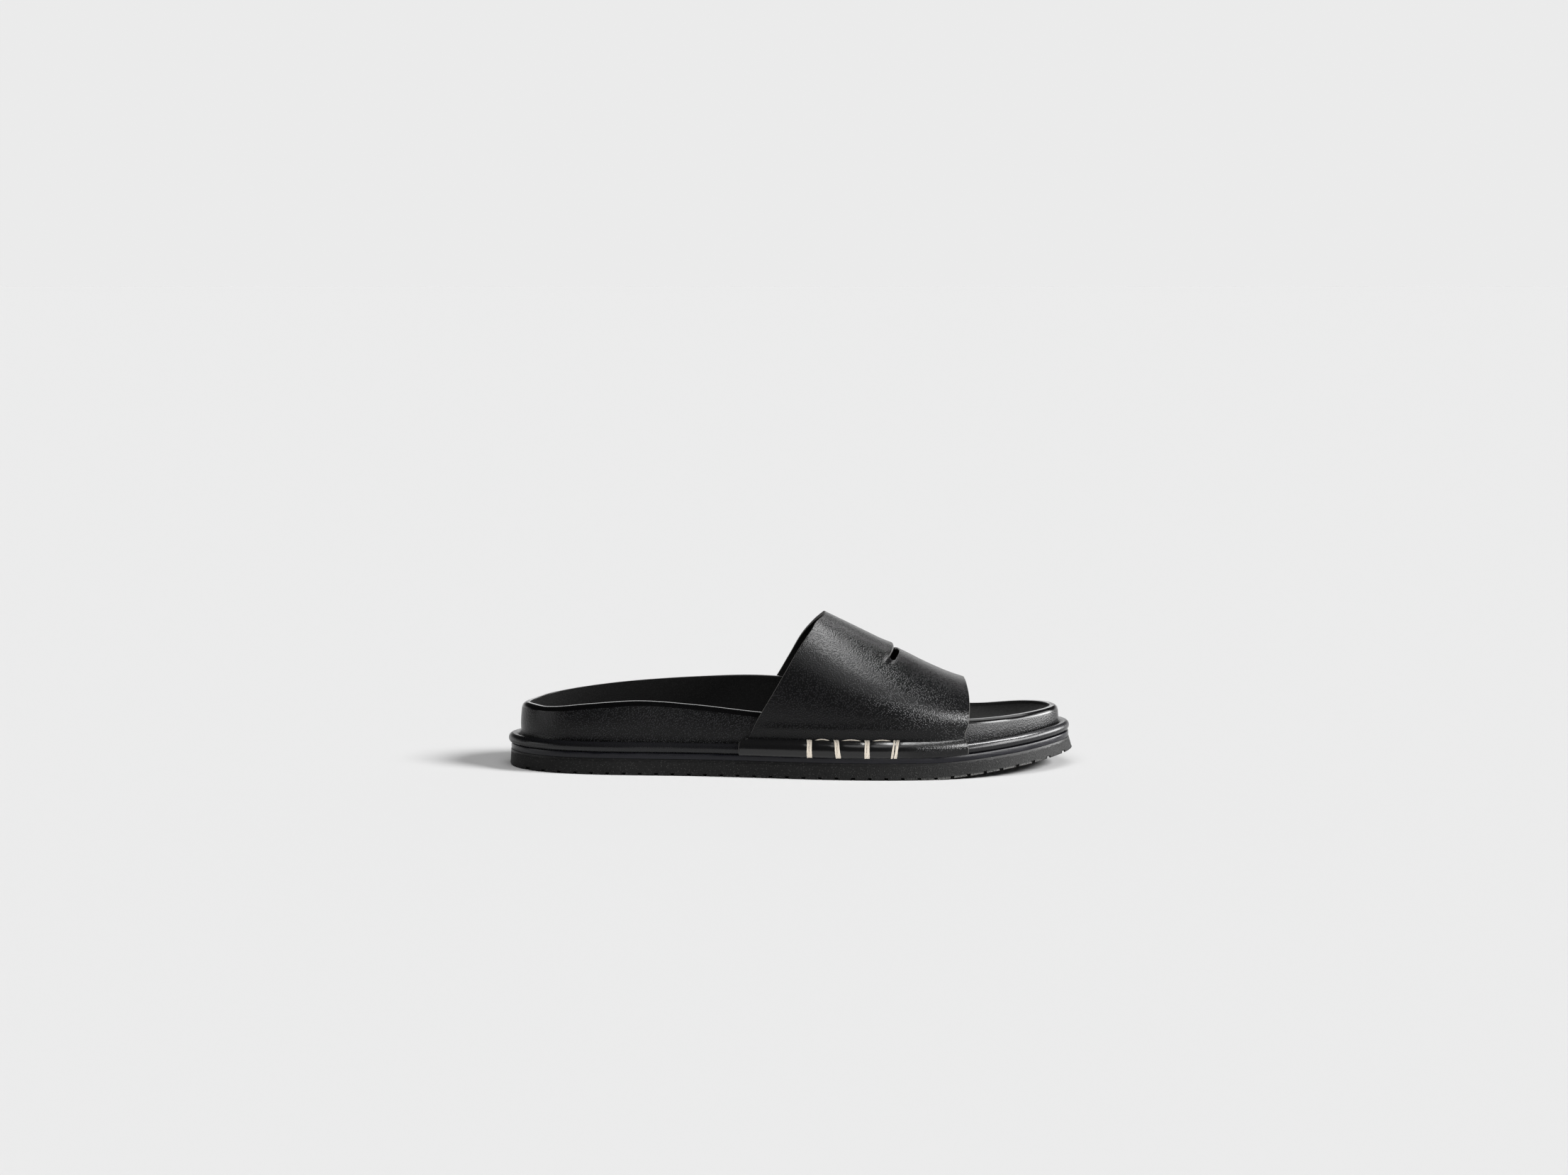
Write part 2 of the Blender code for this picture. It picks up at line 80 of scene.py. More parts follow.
class Table:
    """Rows of numbers under named columns: the first rises, and each other is a smooth curve over it."""

    def __init__(self, columns: str, *rows: tuple[float, ...]) -> None:
        """Keeps the rows by column.

        Args:
            columns: Names of the columns, parted by spaces.
            rows: One tuple of numbers a row.
        """
        values = np.array(rows, float).T
        self.knots = values[0]
        self.columns = dict(zip(columns.split(), values))

    def at(self, column: str, x: np.ndarray) -> np.ndarray:
        """Value of a column at x: a cubic between two rows, with slopes from their neighbours.

        Args:
            column: Name of the column to read.
            x: Places on the first column, held to its range.

        Returns:
            The column's value at each place.
        """
        knots, values = self.knots, self.columns[column]
        x = np.clip(x, knots[0], knots[-1])
        slope = np.gradient(values, knots)
        row = np.clip(np.searchsorted(knots, x, side="right") - 1, 0, len(knots) - 2)
        span = knots[row + 1] - knots[row]
        t = (x - knots[row]) / span
        start = values[row] * (1 + 2 * t) * (1 - t) ** 2 + slope[row] * span * t * (1 - t) ** 2
        end = values[row + 1] * t**2 * (3 - 2 * t) + slope[row + 1] * span * t**2 * (t - 1)
        return start + end


def ease(t: np.ndarray) -> np.ndarray:
    """Climb from 0 to 1 with level ends: three t squared less two t cubed, with t held to 0 to 1."""
    t = np.clip(t, 0.0, 1.0)
    return t * t * (3.0 - 2.0 * t)


def hump(distance: np.ndarray, width: float) -> np.ndarray:
    """Bell that is 1 at no distance: e to the power of minus the square of distance over width."""
    return np.exp(-((distance / width) ** 2))


def end_weighted(count: int, share: float = 0.5) -> np.ndarray:
    """Numbers from 0 to 1 that crowd towards both ends: a mix of even and cosine spacing.

    Args:
        count: How many numbers.
        share: Share of cosine spacing in the mix.

    Returns:
        The rising numbers, with 0 and 1 among them.
    """
    even = np.linspace(0.0, 1.0, count)
    return (1.0 - share) * even + share * (1.0 - np.cos(math.pi * even)) / 2.0


@dataclass
class Patch:
    """Grid of points, with named marks on the same grid that the finishes read."""

    points: np.ndarray
    marks: dict[str, np.ndarray] = field(default_factory=dict)


def grid_quads(rows: int, columns: int) -> np.ndarray:
    """Corner numbers of the quads of a grid whose points are counted row by row.

    Args:
        rows: Number of rows of points.
        columns: Number of columns of points.

    Returns:
        One row of four corner numbers a quad.
    """
    number = np.arange(rows * columns).reshape(rows, columns)
    corners = (number[:-1, :-1], number[:-1, 1:], number[1:, 1:], number[1:, :-1])
    return np.stack(corners, axis=-1).reshape(-1, 4)


def weld(mesh: bpy.types.Mesh) -> None:
    """Joins points that lie together, so that seams and poles are closed, and turns all faces outwards.

    Args:
        mesh: The mesh to change.
    """
    work = bmesh.new()
    work.from_mesh(mesh)
    bmesh.ops.remove_doubles(work, verts=work.verts, dist=WELD_DISTANCE * MM)
    bmesh.ops.recalc_face_normals(work, faces=work.faces)
    work.to_mesh(mesh)
    work.free()


def make_piece(name: str, patches: list[Patch], crisp_angle: float) -> bpy.types.Object:
    """Makes one object from patches that share their borders.

    Args:
        name: Name of the object.
        patches: Grids in millimetres that close into one skin once their borders are welded.
        crisp_angle: Folds sharper than this many degrees keep a crisp edge.

    Returns:
        The object, at the origin, with its marks as point attributes.
    """
    points = np.concatenate([patch.points.reshape(-1, 3) for patch in patches])
    starts = np.cumsum([0] + [patch.points[..., 0].size for patch in patches])
    faces = [grid_quads(*patch.points.shape[:2]) + start for patch, start in zip(patches, starts)]
    corners = np.concatenate(faces).astype(np.int32)
    mesh = bpy.data.meshes.new(name)
    mesh.vertices.add(len(points))
    mesh.vertices.foreach_set("co", (points * MM).astype(np.float32).ravel())
    mesh.loops.add(corners.size)
    mesh.loops.foreach_set("vertex_index", corners.ravel())
    mesh.polygons.add(len(corners))
    mesh.polygons.foreach_set("loop_start", np.arange(0, corners.size, 4, dtype=np.int32))
    mesh.update(calc_edges=True)
    for mark in sorted({mark for patch in patches for mark in patch.marks}):
        values = [patch.marks.get(mark, np.zeros(patch.points.shape[:2])).ravel() for patch in patches]
        attribute = mesh.attributes.new(mark, "FLOAT", "POINT")
        attribute.data.foreach_set("value", np.concatenate(values).astype(np.float32))
    weld(mesh)
    mesh.shade_smooth()
    mesh.set_sharp_from_angle(angle=math.radians(crisp_angle))
    made = bpy.data.objects.new(name, mesh)
    bpy.context.scene.collection.objects.link(made)
    return made


def fit(piece: bpy.types.Object, finish: "Finish", slot: str, *nodes: str) -> bpy.types.Object:
    """Gives a piece its finish and its place in the shoe.

    Args:
        piece: The object to fit.
        finish: The finish it wears.
        slot: The record's material slot that the finish stands for; not used.
        nodes: Solids that the piece stands for.

    Returns:
        The same object.
    """
    piece.data.materials.append(finish.material(piece.name))
    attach(piece, BODY)
    if nodes:
        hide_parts(*nodes)
    log.info("%s: %d faces", piece.name, len(piece.data.polygons))
    return piece


def closed_curve(points: tuple[tuple[float, float], ...], samples: int) -> np.ndarray:
    """Samples of the smooth closed curve through points: a periodic cubic spline over chord length.

    Args:
        points: The curve's own points, in order.
        samples: How many samples to take at even chord length.

    Returns:
        One (x, y) row a sample.
    """
    knot = np.array(points, float)
    count = len(knot)
    after = np.roll(knot, -1, axis=0) - knot
    step = np.linalg.norm(after, axis=1)
    slope = after / step[:, None]
    before = np.roll(step, 1)
    one = np.eye(count)
    system = (
        before[:, None] * np.roll(one, -1, axis=1)
        + 2.0 * (before + step)[:, None] * one
        + step[:, None] * np.roll(one, 1, axis=1)
    )
    bend = np.linalg.solve(system, 6.0 * (slope - np.roll(slope, 1, axis=0)))
    length = np.concatenate([[0.0], np.cumsum(step)])
    at = np.linspace(0.0, length[-1], samples, endpoint=False)
    first = np.searchsorted(length, at, side="right") - 1
    second = (first + 1) % count
    share = ((at - length[first]) / step[first])[:, None]
    rest = 1.0 - share
    curved = (rest**3 - rest) * bend[first] + (share**3 - share) * bend[second]
    return rest * knot[first] + share * knot[second] + curved * (step[first] ** 2)[:, None] / 6.0


@dataclass
class Last:
    """Outline and heights that all pieces of the shoe share, as in the part's source."""

    outline: tuple[tuple[float, float], ...] = (
        (-143.4, 3.5), (-131.0, -19.5), (-105.0, -31.5), (-60.0, -36.5), (-20.0, -42.2),
        (15.0, -48.9), (45.0, -51.4), (80.0, -47.8), (112.0, -35.0), (133.0, -15.5),
        (142.8, 6.0), (137.0, 26.5), (115.0, 43.0), (75.0, 51.5), (30.0, 47.0),
        (-15.0, 38.2), (-55.0, 35.0), (-105.0, 37.5), (-131.0, 26.5),
    )
    dense_samples: int = 6000
    meeting_run: float = 14.0
    end_crowding: float = 0.85
    spring_start: float = 68.0
    spring_end: float = 143.0
    spring_ease: float = 0.2
    underside_spring: float = 8.0
    upper_spring: float = 6.0
    heel_bevel_start: float = -128.0
    heel_bevel_length: float = 16.0
    heel_bevel_height: float = 1.0
    seam_gap: float = 0.3
    outsole_top: float = 8.3
    midsole_top: float = 11.3
    piping_radius: float = 2.5
    piping_heel_inset: float = 1.4
    piping_toe_inset: float = 1.1
    heights: Table = field(
        default_factory=lambda: Table(
            "x outer_rim inner_rim hollow",
            (-139.0, 32.0, 32.2, 22.2),
            (-124.0, 32.1, 34.4, 21.8),
            (-100.0, 34.9, 37.6, 21.5),
            (-78.0, 36.6, 40.1, 21.8),
            (-48.0, 35.0, 42.3, 23.4),
            (-18.0, 32.2, 42.7, 24.6),
            (20.0, 30.2, 38.4, 23.2),
            (60.0, 29.0, 30.2, 21.4),
            (94.0, 28.8, 26.4, 21.6),
            (122.0, 29.7, 29.3, 23.4),
            (137.5, 30.4, 30.7, 24.6),
        )
    )

    def __post_init__(self) -> None:
        """Samples the outline and parts it into an outer and an inner chain, both from heel to toe."""
        curve = closed_curve(self.outline, self.dense_samples)
        curve = np.roll(curve, -int(curve[:, 0].argmin()), axis=0)
        ahead = np.roll(curve, -1, axis=0) - np.roll(curve, 1, axis=0)
        ahead /= np.linalg.norm(ahead, axis=1)[:, None]
        outward = np.stack([ahead[:, 1], -ahead[:, 0]], axis=1)
        toe = int(curve[:, 0].argmax())
        back = np.r_[np.arange(toe, len(curve)), 0][::-1]
        self.heel_x, self.toe_x = curve[0, 0], curve[toe, 0]
        self.chains = {
            Side.OUTER: (curve[: toe + 1], outward[: toe + 1]),
            Side.INNER: (curve[back], outward[back]),
        }

    def toe_spring(self, x: np.ndarray) -> np.ndarray:
        """Share of the toe spring reached at x: 0 up to the ball, a soft start, then a straight climb.

        With s for the soft start, the share is (hypot(along, s) - s) / (hypot(1, s) - s).

        Args:
            x: Places along the shoe.

        Returns:
            The share, 1 at the end of the spring.
        """
        along = np.clip((x - self.spring_start) / (self.spring_end - self.spring_start), 0.0, None)
        soft = self.spring_ease
        return (np.hypot(along, soft) - soft) / (math.hypot(1.0, soft) - soft)

    def underside(self, x: np.ndarray) -> np.ndarray:
        """Height of the outsole's underside: toe spring ahead, a small square bevel behind."""
        behind = np.clip((self.heel_bevel_start - x) / self.heel_bevel_length, 0.0, None)
        return self.underside_spring * self.toe_spring(x) + self.heel_bevel_height * behind**2

    def level(self, x: np.ndarray, above: float) -> np.ndarray:
        """Height of a layer of the sole, which follows the toe spring of the layers above the outsole."""
        return self.upper_spring * self.toe_spring(x) + above

    @property
    def piping_centre(self) -> float:
        """Height of the piping's middle above the spring line."""
        return self.midsole_top + self.seam_gap + self.piping_radius

    def piping_inset(self, x: np.ndarray) -> np.ndarray:
        """How far the piping's middle lies inside the outline: a little more towards the toe, by a cube."""
        along = np.clip((x - self.outline[0][0]) / (self.spring_end - self.outline[0][0]), 0.0, 1.0)
        return self.piping_heel_inset + self.piping_toe_inset * along**3

    def rim(self, x: np.ndarray, side: Side) -> np.ndarray:
        """Height of the footbed's rim on one side."""
        return self.heights.at("outer_rim" if side is Side.OUTER else "inner_rim", x)

    def stations(self, count: int) -> np.ndarray:
        """Places along the shoe from heel to toe, crowded towards its round ends by a cosine."""
        return self.heel_x + (self.toe_x - self.heel_x) * end_weighted(count, self.end_crowding)

    def place(self, side: Side, x: np.ndarray, inset: np.ndarray) -> np.ndarray:
        """Points of the outline moved in along its normal.

        Args:
            side: The side to follow.
            x: Stations on the outline.
            inset: How far the points lie inside the outline, one row a level.

        Returns:
            (x, y) for each level and station.
        """
        curve, outward = self.chains[side]
        number = np.arange(len(curve))
        at = np.interp(x, curve[:, 0], number)
        foot = np.stack([np.interp(at, number, column) for column in curve.T], axis=-1)
        out = np.stack([np.interp(at, number, column) for column in outward.T], axis=-1)
        out /= np.linalg.norm(out, axis=-1, keepdims=True)
        return foot - out * np.asarray(inset)[..., None]

    def side_y(self, side: Side, x: np.ndarray, inset: Callable[[np.ndarray], np.ndarray]) -> np.ndarray:
        """y of one side's edge, moved in, at places away from the two ends.

        Args:
            side: The side to follow.
            x: Places along the shoe.
            inset: How far the edge is moved in at places along the outline.

        Returns:
            y at each place.
        """
        curve, outward = self.chains[side]
        moved = curve - outward * inset(curve[:, :1])
        return np.interp(x, moved[:, 0], moved[:, 1])

    def loft(self, x: np.ndarray, inset: np.ndarray, height: HeightRule) -> np.ndarray:
        """Grid of rings round the shoe, one a level: the outline moved in, lifted to a height.

        The heights of the two sides draw together over a short run before heel and toe, where they meet.

        Args:
            x: Stations from heel to toe.
            inset: Inset of each level, and of each station if it varies.
            height: Height for places (x) on a side, on the same grid.

        Returns:
            Points by level and by place round the ring: outer side to the toe, inner side back.
        """
        outer, inner = (self.place(side, x, np.broadcast_to(inset, (len(inset), len(x)))) for side in Side)
        outer_z, inner_z = height(outer[..., 0], Side.OUTER), height(inner[..., 0], Side.INNER)
        from_end = np.minimum(x - self.heel_x, self.toe_x - x)
        pull = (inner_z - outer_z) / 2 * (1.0 - ease(from_end / self.meeting_run))
        outer = np.concatenate([outer, (outer_z + pull)[..., None]], axis=-1)
        inner = np.concatenate([inner, (inner_z - pull)[..., None]], axis=-1)
        return np.concatenate([outer, inner[:, ::-1]], axis=1)


def across(ring: np.ndarray, columns: int) -> np.ndarray:
    """Straight rows of points from a ring's outer chain to its inner chain, one row a station.

    Args:
        ring: Points round the shoe, outer side to the toe, then inner side back.
        columns: Points a row.

    Returns:
        Points by station and column.
    """
    half = len(ring) // 2
    outer, inner = ring[:half], ring[:half - 1:-1]
    share = np.linspace(0.0, 1.0, columns)[None, :, None]
    return outer[:, None] + (inner - outer)[:, None] * share


class Detail(Enum):
    """How many finer layers a noise carries."""

    SOFT = 2.0
    CLOUDED = 3.0
    ROUGH = 4.0


class Graph:
    """Node tree of one new material, with short calls that add and join nodes."""

    def __init__(self, name: str) -> None:
        """Starts from the usual shader and an Object coordinate."""
        self.made = bpy.data.materials.new(name)
        self.made.use_nodes = True
        self.tree = self.made.node_tree
        self.shader = self.tree.nodes["Principled BSDF"]
        self.place = self.node("TexCoord").outputs["Object"]

    def feed(self, socket: Socket, value: object) -> None:
        """Links a socket if the value is one, and sets the number or colour if not.

        Args:
            socket: The input to feed.
            value: Another socket, a number or a colour.
        """
        if isinstance(value, Socket):
            self.tree.links.new(value, socket)
        else:
            socket.default_value = value

    def node(
        self, kind: str, inputs: dict[str | int, object] | None = None, **settings: object
    ) -> bpy.types.Node:
        """Adds a node.

        Args:
            kind: Node type without the ShaderNode prefix.
            inputs: What each named or numbered input takes.
            settings: The node's own settings.

        Returns:
            The node.
        """
        made = self.tree.nodes.new("ShaderNode" + kind)
        for key, value in settings.items():
            setattr(made, key, value)
        for socket, value in (inputs or {}).items():
            self.feed(made.inputs[socket], value)
        return made

    def math(self, operation: str, a: object, b: object = 0.0) -> Socket:
        """Result of one sum on two values."""
        return self.node("Math", {0: a, 1: b}, operation=operation).outputs[0]

    def ranged(self, value: Socket, low: float, high: float, to_low: float, to_high: float) -> Socket:
        """Value carried from one range to another along a smooth step, held to its ends."""
        inputs = {"Value": value, 1: low, 2: high, 3: to_low, 4: to_high}
        return self.node("MapRange", inputs, interpolation_type="SMOOTHSTEP").outputs[0]

    def noise(self, size: float, detail: Detail = Detail.SOFT, place: Socket | None = None) -> Socket:
        """Noise from 0 to 1 with features of a size in millimetres."""
        inputs = {"Vector": place or self.place, "Scale": 1.0 / (size * MM), "Detail": detail.value}
        return self.node("TexNoise", inputs).outputs[0]

    def cells(self, size: float, feature: str, place: Socket | None = None) -> Socket:
        """Distance in a Voronoi pattern with cells of a size in millimetres."""
        inputs = {"Vector": place or self.place, "Scale": 1.0 / (size * MM)}
        return self.node("TexVoronoi", inputs, feature=feature).outputs["Distance"]

    def warped(self, size: float, reach: float) -> Socket:
        """Object coordinate pushed about by noise.

        Args:
            size: Size of the noise's features in millimetres.
            reach: Widest push in millimetres.

        Returns:
            The pushed coordinate.
        """
        inputs = {"Vector": self.place, "Scale": 1.0 / (size * MM), "Detail": Detail.SOFT.value}
        colour = self.node("TexNoise", inputs).outputs["Color"]
        push = self.node("VectorMath", {0: colour, 1: (reach * MM,) * 3}, operation="MULTIPLY").outputs[0]
        return self.node("VectorMath", {0: self.place, 1: push}, operation="ADD").outputs[0]

    def mark(self, name: str) -> Socket:
        """Value of one of the piece's own marks."""
        return self.node("Attribute", attribute_name=name).outputs["Fac"]

    def mix(self, share: Socket, first: object, second: object) -> Socket:
        """Colour from first to second by share."""
        inputs = {0: share, 6: first, 7: second}
        return self.node("Mix", inputs, data_type="RGBA").outputs[2]

    def shaded(self, share: Socket, colour: Colour, shades: Shades) -> Socket:
        """Colour from its darker to its lighter shade by share."""
        return self.mix(share, *(opaque(colour, times) for times in shades))

    def bump(self, height: Socket, depth: float, under: Socket | None = None) -> Socket:
        """Normal of a relief.

        Args:
            height: Height of the relief from 0 to 1.
            depth: What a height of 1 stands for, in millimetres.
            under: Normal of a coarser relief that this one lies on.

        Returns:
            The normal.
        """
        inputs: dict[str | int, object] = {"Height": height, "Distance": depth * MM}
        if under is not None:
            inputs["Normal"] = under
        return self.node("Bump", inputs).outputs[0]

    def set(self, **inputs: object) -> None:
        """Feeds the shader.

        Args:
            inputs: What each input takes, named in lower case with _ for a space.
        """
        named = {socket.name.lower().replace(" ", "_"): socket for socket in self.shader.inputs}
        for name, value in inputs.items():
            self.feed(named[name], value)


def opaque(colour: Colour, times: float = 1.0) -> tuple[float, float, float, float]:
    """A colour made lighter or darker, with full alpha."""
    red, green, blue = colour
    return (red * times, green * times, blue * times, 1.0)


class Finish:
    """What a piece's surface looks like."""

    def material(self, name: str) -> bpy.types.Material:
        """Makes the material for the piece of that name."""
        raise NotImplementedError


@dataclass(frozen=True)
class Leather(Finish):
    """Black leather: rounded grain pebbles parted by fine creases, over a softly uneven hide.

    Sizes of the warp and of the fine grain are in grains. Spans are the values that a step runs between.
    """

    colour: Colour
    roughness: tuple[float, float]
    grain: float
    grain_depth: float
    dents: float
    dent_depth: float
    specular: float
    coat: float
    coat_roughness: float
    crease_shade_and_polish: Shades = (0.75, 1.4)
    warp_size: float = 3.0
    warp_reach: float = 0.2
    fine_size: float = 0.5
    pebble_span: tuple[float, float] = (0.1, 0.65)
    pebble_share: float = 0.8
    fine_share: float = 0.3
    gloss_span: tuple[float, float] = (0.25, 0.95)
    tops_span: tuple[float, float] = (0.35, 0.95)
    cloud_size: float = 23.0
    cloud_span: tuple[float, float] = (0.3, 0.7)
    cloud_least: float = 0.75
    taut_grain: float = 0.15
    taut_gloss: float = 0.62
    lining_roughness: float = 0.62
    cut_roughness: float = 0.7
    cut_colour: Colour = (0.13, 0.127, 0.122)
    cut_shades: Shades = (0.6, 1.4)

    def material(self, name: str) -> bpy.types.Material:
        """Makes the leather: height drives relief, gloss and colour: painted shade in creases, polished
        tops.

        The height is pebble_share * pebble + fine_share * fine, flattened where the leather is taut. The
        piece's own marks tell taut leather, cut edges and the flesh side.

        Args:
            name: Name of the material.

        Returns:
            The material.
        """
        graph = Graph(name)
        place = graph.warped(self.grain * self.warp_size, self.grain * self.warp_reach)
        pebble = graph.ranged(graph.cells(self.grain, "F1", place), *self.pebble_span, 1.0, 0.0)
        fine = graph.noise(self.grain * self.fine_size)
        taut, cut, lining = (graph.mark(mark) for mark in ("taut", "cut", "lining"))
        pebble = graph.math("MULTIPLY", pebble, self.pebble_share)
        height = graph.math("ADD", pebble, graph.math("MULTIPLY", fine, self.fine_share))
        height = graph.math("MULTIPLY", height, graph.ranged(taut, 0.0, 1.0, 1.0, self.taut_grain))
        hide = graph.bump(graph.noise(self.dents), self.dent_depth)
        glossiest, dullest = self.roughness
        gloss = graph.ranged(height, *self.gloss_span, dullest, glossiest)
        gloss = graph.math("MULTIPLY", gloss, graph.ranged(taut, 0.0, 1.0, 1.0, self.taut_gloss))
        gloss = graph.math("MAXIMUM", gloss, graph.math("MULTIPLY", lining, self.lining_roughness))
        gloss = graph.math("MAXIMUM", gloss, graph.math("MULTIPLY", cut, self.cut_roughness))
        cloud = graph.noise(self.cloud_size, Detail.CLOUDED)
        cloud = graph.ranged(cloud, *self.cloud_span, self.cloud_least, 1.0)
        # Colour by height: pebble tops lighter as if polished, and painted shade darkening the creases
        # between them.
        tops = graph.math("MULTIPLY", graph.ranged(height, *self.tops_span, 0.0, 1.0), cloud)
        black = graph.shaded(tops, self.colour, self.crease_shade_and_polish)
        graph.set(
            base_color=graph.mix(cut, black, graph.shaded(fine, self.cut_colour, self.cut_shades)),
            roughness=gloss,
            normal=graph.bump(height, self.grain_depth, hide),
            specular_ior_level=self.specular,
            coat_weight=graph.math("MULTIPLY", taut, self.coat),
            coat_roughness=self.coat_roughness,
        )
        return graph.made


@dataclass(frozen=True)
class Rubber(Finish):
    """Matt moulded rubber with fine specks, smeared smooth under its upper edge, with a painted highlight
    at its foot.

    The sizes of pits and the spacing of specks are in specks.
    """

    colour: Colour
    speck_colour: Colour
    worn_colour: Colour
    roughness: float
    smear_roughness: float
    speck: float
    pit_depth: float
    smear: float
    specular: float
    smear_size: float = 3.5
    smear_run: float = 0.8
    pit_size: float = 1.3
    pit_most: float = 1.1
    speck_spacing: float = 2.4
    speck_span: tuple[float, float] = (0.12, 0.26)
    speck_share: float = 0.6
    cloud_size: float = 14.0
    cloud_shades: Shades = (0.7, 1.3)
    worn_span: tuple[float, float] = (0.35, 0.6)

    def material(self, name: str) -> bpy.types.Material:
        """Makes the rubber: pits and specks, which fade out where the smear from the edge above reaches.

        The smear's ragged border lies at a noise times twice the smear's mean reach.

        Args:
            name: Name of the material.

        Returns:
            The material.
        """
        graph = Graph(name)
        ragged = graph.math("MULTIPLY", graph.noise(self.smear_size, Detail.ROUGH), self.smear * 2.0)
        past = graph.math("SUBTRACT", graph.mark("from_top"), ragged)
        smear = graph.ranged(past, 0.0, self.smear_run, 1.0, 0.0)
        pits = graph.noise(self.speck * self.pit_size, Detail.ROUGH)
        speck = graph.ranged(graph.cells(self.speck * self.speck_spacing, "F1"), *self.speck_span, 1.0, 0.0)
        ground = graph.shaded(graph.noise(self.cloud_size, Detail.ROUGH), self.colour, self.cloud_shades)
        height = graph.math("MULTIPLY", pits, graph.math("SUBTRACT", self.pit_most, smear))
        speck = graph.math("MULTIPLY", speck, self.speck_share)
        ground = graph.mix(speck, ground, opaque(self.speck_colour))
        # Painted highlight: a paler colour along the foot of the side, standing in for light caught by the
        # bottom edge.
        worn = graph.math("MULTIPLY", graph.mark("worn"), graph.ranged(pits, *self.worn_span, 0.0, 1.0))
        graph.set(
            base_color=graph.mix(worn, ground, opaque(self.worn_colour)),
            roughness=graph.ranged(smear, 0.0, 1.0, self.roughness, self.smear_roughness),
            normal=graph.bump(height, self.pit_depth),
            specular_ior_level=self.specular,
        )
        return graph.made


@dataclass(frozen=True)
class Lacquer(Finish):
    """Smooth dark edge paint with faint streaks along the sole."""

    colour: Colour
    roughness: tuple[float, float]
    specular: float
    streak: float
    streak_depth: float
    drawn: tuple[float, float, float] = (0.12, 0.12, 1.0)
    streak_span: tuple[float, float] = (0.3, 0.75)
    streak_shades: Shades = (0.7, 1.5)

    def material(self, name: str) -> bpy.types.Material:
        """Makes the lacquer: noise drawn out along the shoe varies its shade, gloss and relief.

        Args:
            name: Name of the material.

        Returns:
            The material.
        """
        graph = Graph(name)
        drawn = graph.node("Mapping", {"Vector": graph.place, "Scale": self.drawn}).outputs[0]
        streaks = graph.noise(self.streak, Detail.ROUGH, drawn)
        graph.set(
            base_color=graph.shaded(streaks, self.colour, self.streak_shades),
            roughness=graph.ranged(streaks, *self.streak_span, *self.roughness),
            normal=graph.bump(streaks, self.streak_depth),
            specular_ior_level=self.specular,
        )
        return graph.made


@dataclass(frozen=True)
class Thread(Finish):
    """Waxed cream thread with fine fibres."""

    colour: Colour
    roughness: float
    fibre: float
    fibre_depth: float = 0.075
    fibre_shades: Shades = (0.72, 1.1)
    painted_valley_shade: float = 0.75
    sheen: float = 0.2

    def material(self, name: str) -> bpy.types.Material:
        """Makes the thread: fibres vary its shade and relief, and painted shade darkens the valleys of its
        twist.

        Args:
            name: Name of the material.

        Returns:
            The material.
        """
        graph = Graph(name)
        fibres = graph.noise(self.fibre, Detail.ROUGH)
        tone = graph.shaded(fibres, self.colour, self.fibre_shades)
        graph.set(
            # Painted shade: the valleys of the twist take a darker colour.
            base_color=graph.mix(graph.mark("valley"), tone, opaque(self.colour, self.painted_valley_shade)),
            roughness=self.roughness,
            normal=graph.bump(fibres, self.fibre_depth),
            sheen_weight=self.sheen,
        )
        return graph.made


PEBBLED_LEATHER = Leather(
    colour=(0.006, 0.006, 0.0063), roughness=(0.14, 0.22), grain=0.74, grain_depth=0.08,
    dents=7.0, dent_depth=0.06, specular=0.2, coat=0.6, coat_roughness=0.2,
    crease_shade_and_polish=(0.6, 2.0),
)
WRAP_LEATHER = Leather(
    colour=(0.005, 0.005, 0.0055), roughness=(0.17, 0.27), grain=0.75, grain_depth=0.06,
    dents=9.0, dent_depth=0.05, specular=0.22, coat=0.5, coat_roughness=0.14,
    crease_shade_and_polish=(0.3, 3.8),
)
PIPING_LEATHER = Leather(
    colour=(0.005, 0.005, 0.006), roughness=(0.18, 0.28), grain=0.7, grain_depth=0.018,
    dents=6.0, dent_depth=0.04, specular=0.36, coat=0.0, coat_roughness=0.15,
)
LINING_LEATHER = Leather(
    colour=(0.012, 0.012, 0.012), roughness=(0.6, 0.75), grain=0.7, grain_depth=0.05,
    dents=14.0, dent_depth=0.15, specular=0.06, coat=0.0, coat_roughness=0.3,
)
SOLE_RUBBER = Rubber(
    colour=(0.0055, 0.0055, 0.0055), speck_colour=(0.06, 0.06, 0.058), worn_colour=(0.1, 0.1, 0.095),
    roughness=0.55, smear_roughness=0.36, speck=0.42, pit_depth=0.3, smear=0.9, specular=0.15,
)
EDGE_LACQUER = Lacquer(
    colour=(0.005, 0.005, 0.007), roughness=(0.18, 0.36), specular=0.25, streak=1.2, streak_depth=0.05,
)
CREAM_THREAD = Thread(colour=(0.86, 0.78, 0.67), roughness=0.6, fibre=0.25)


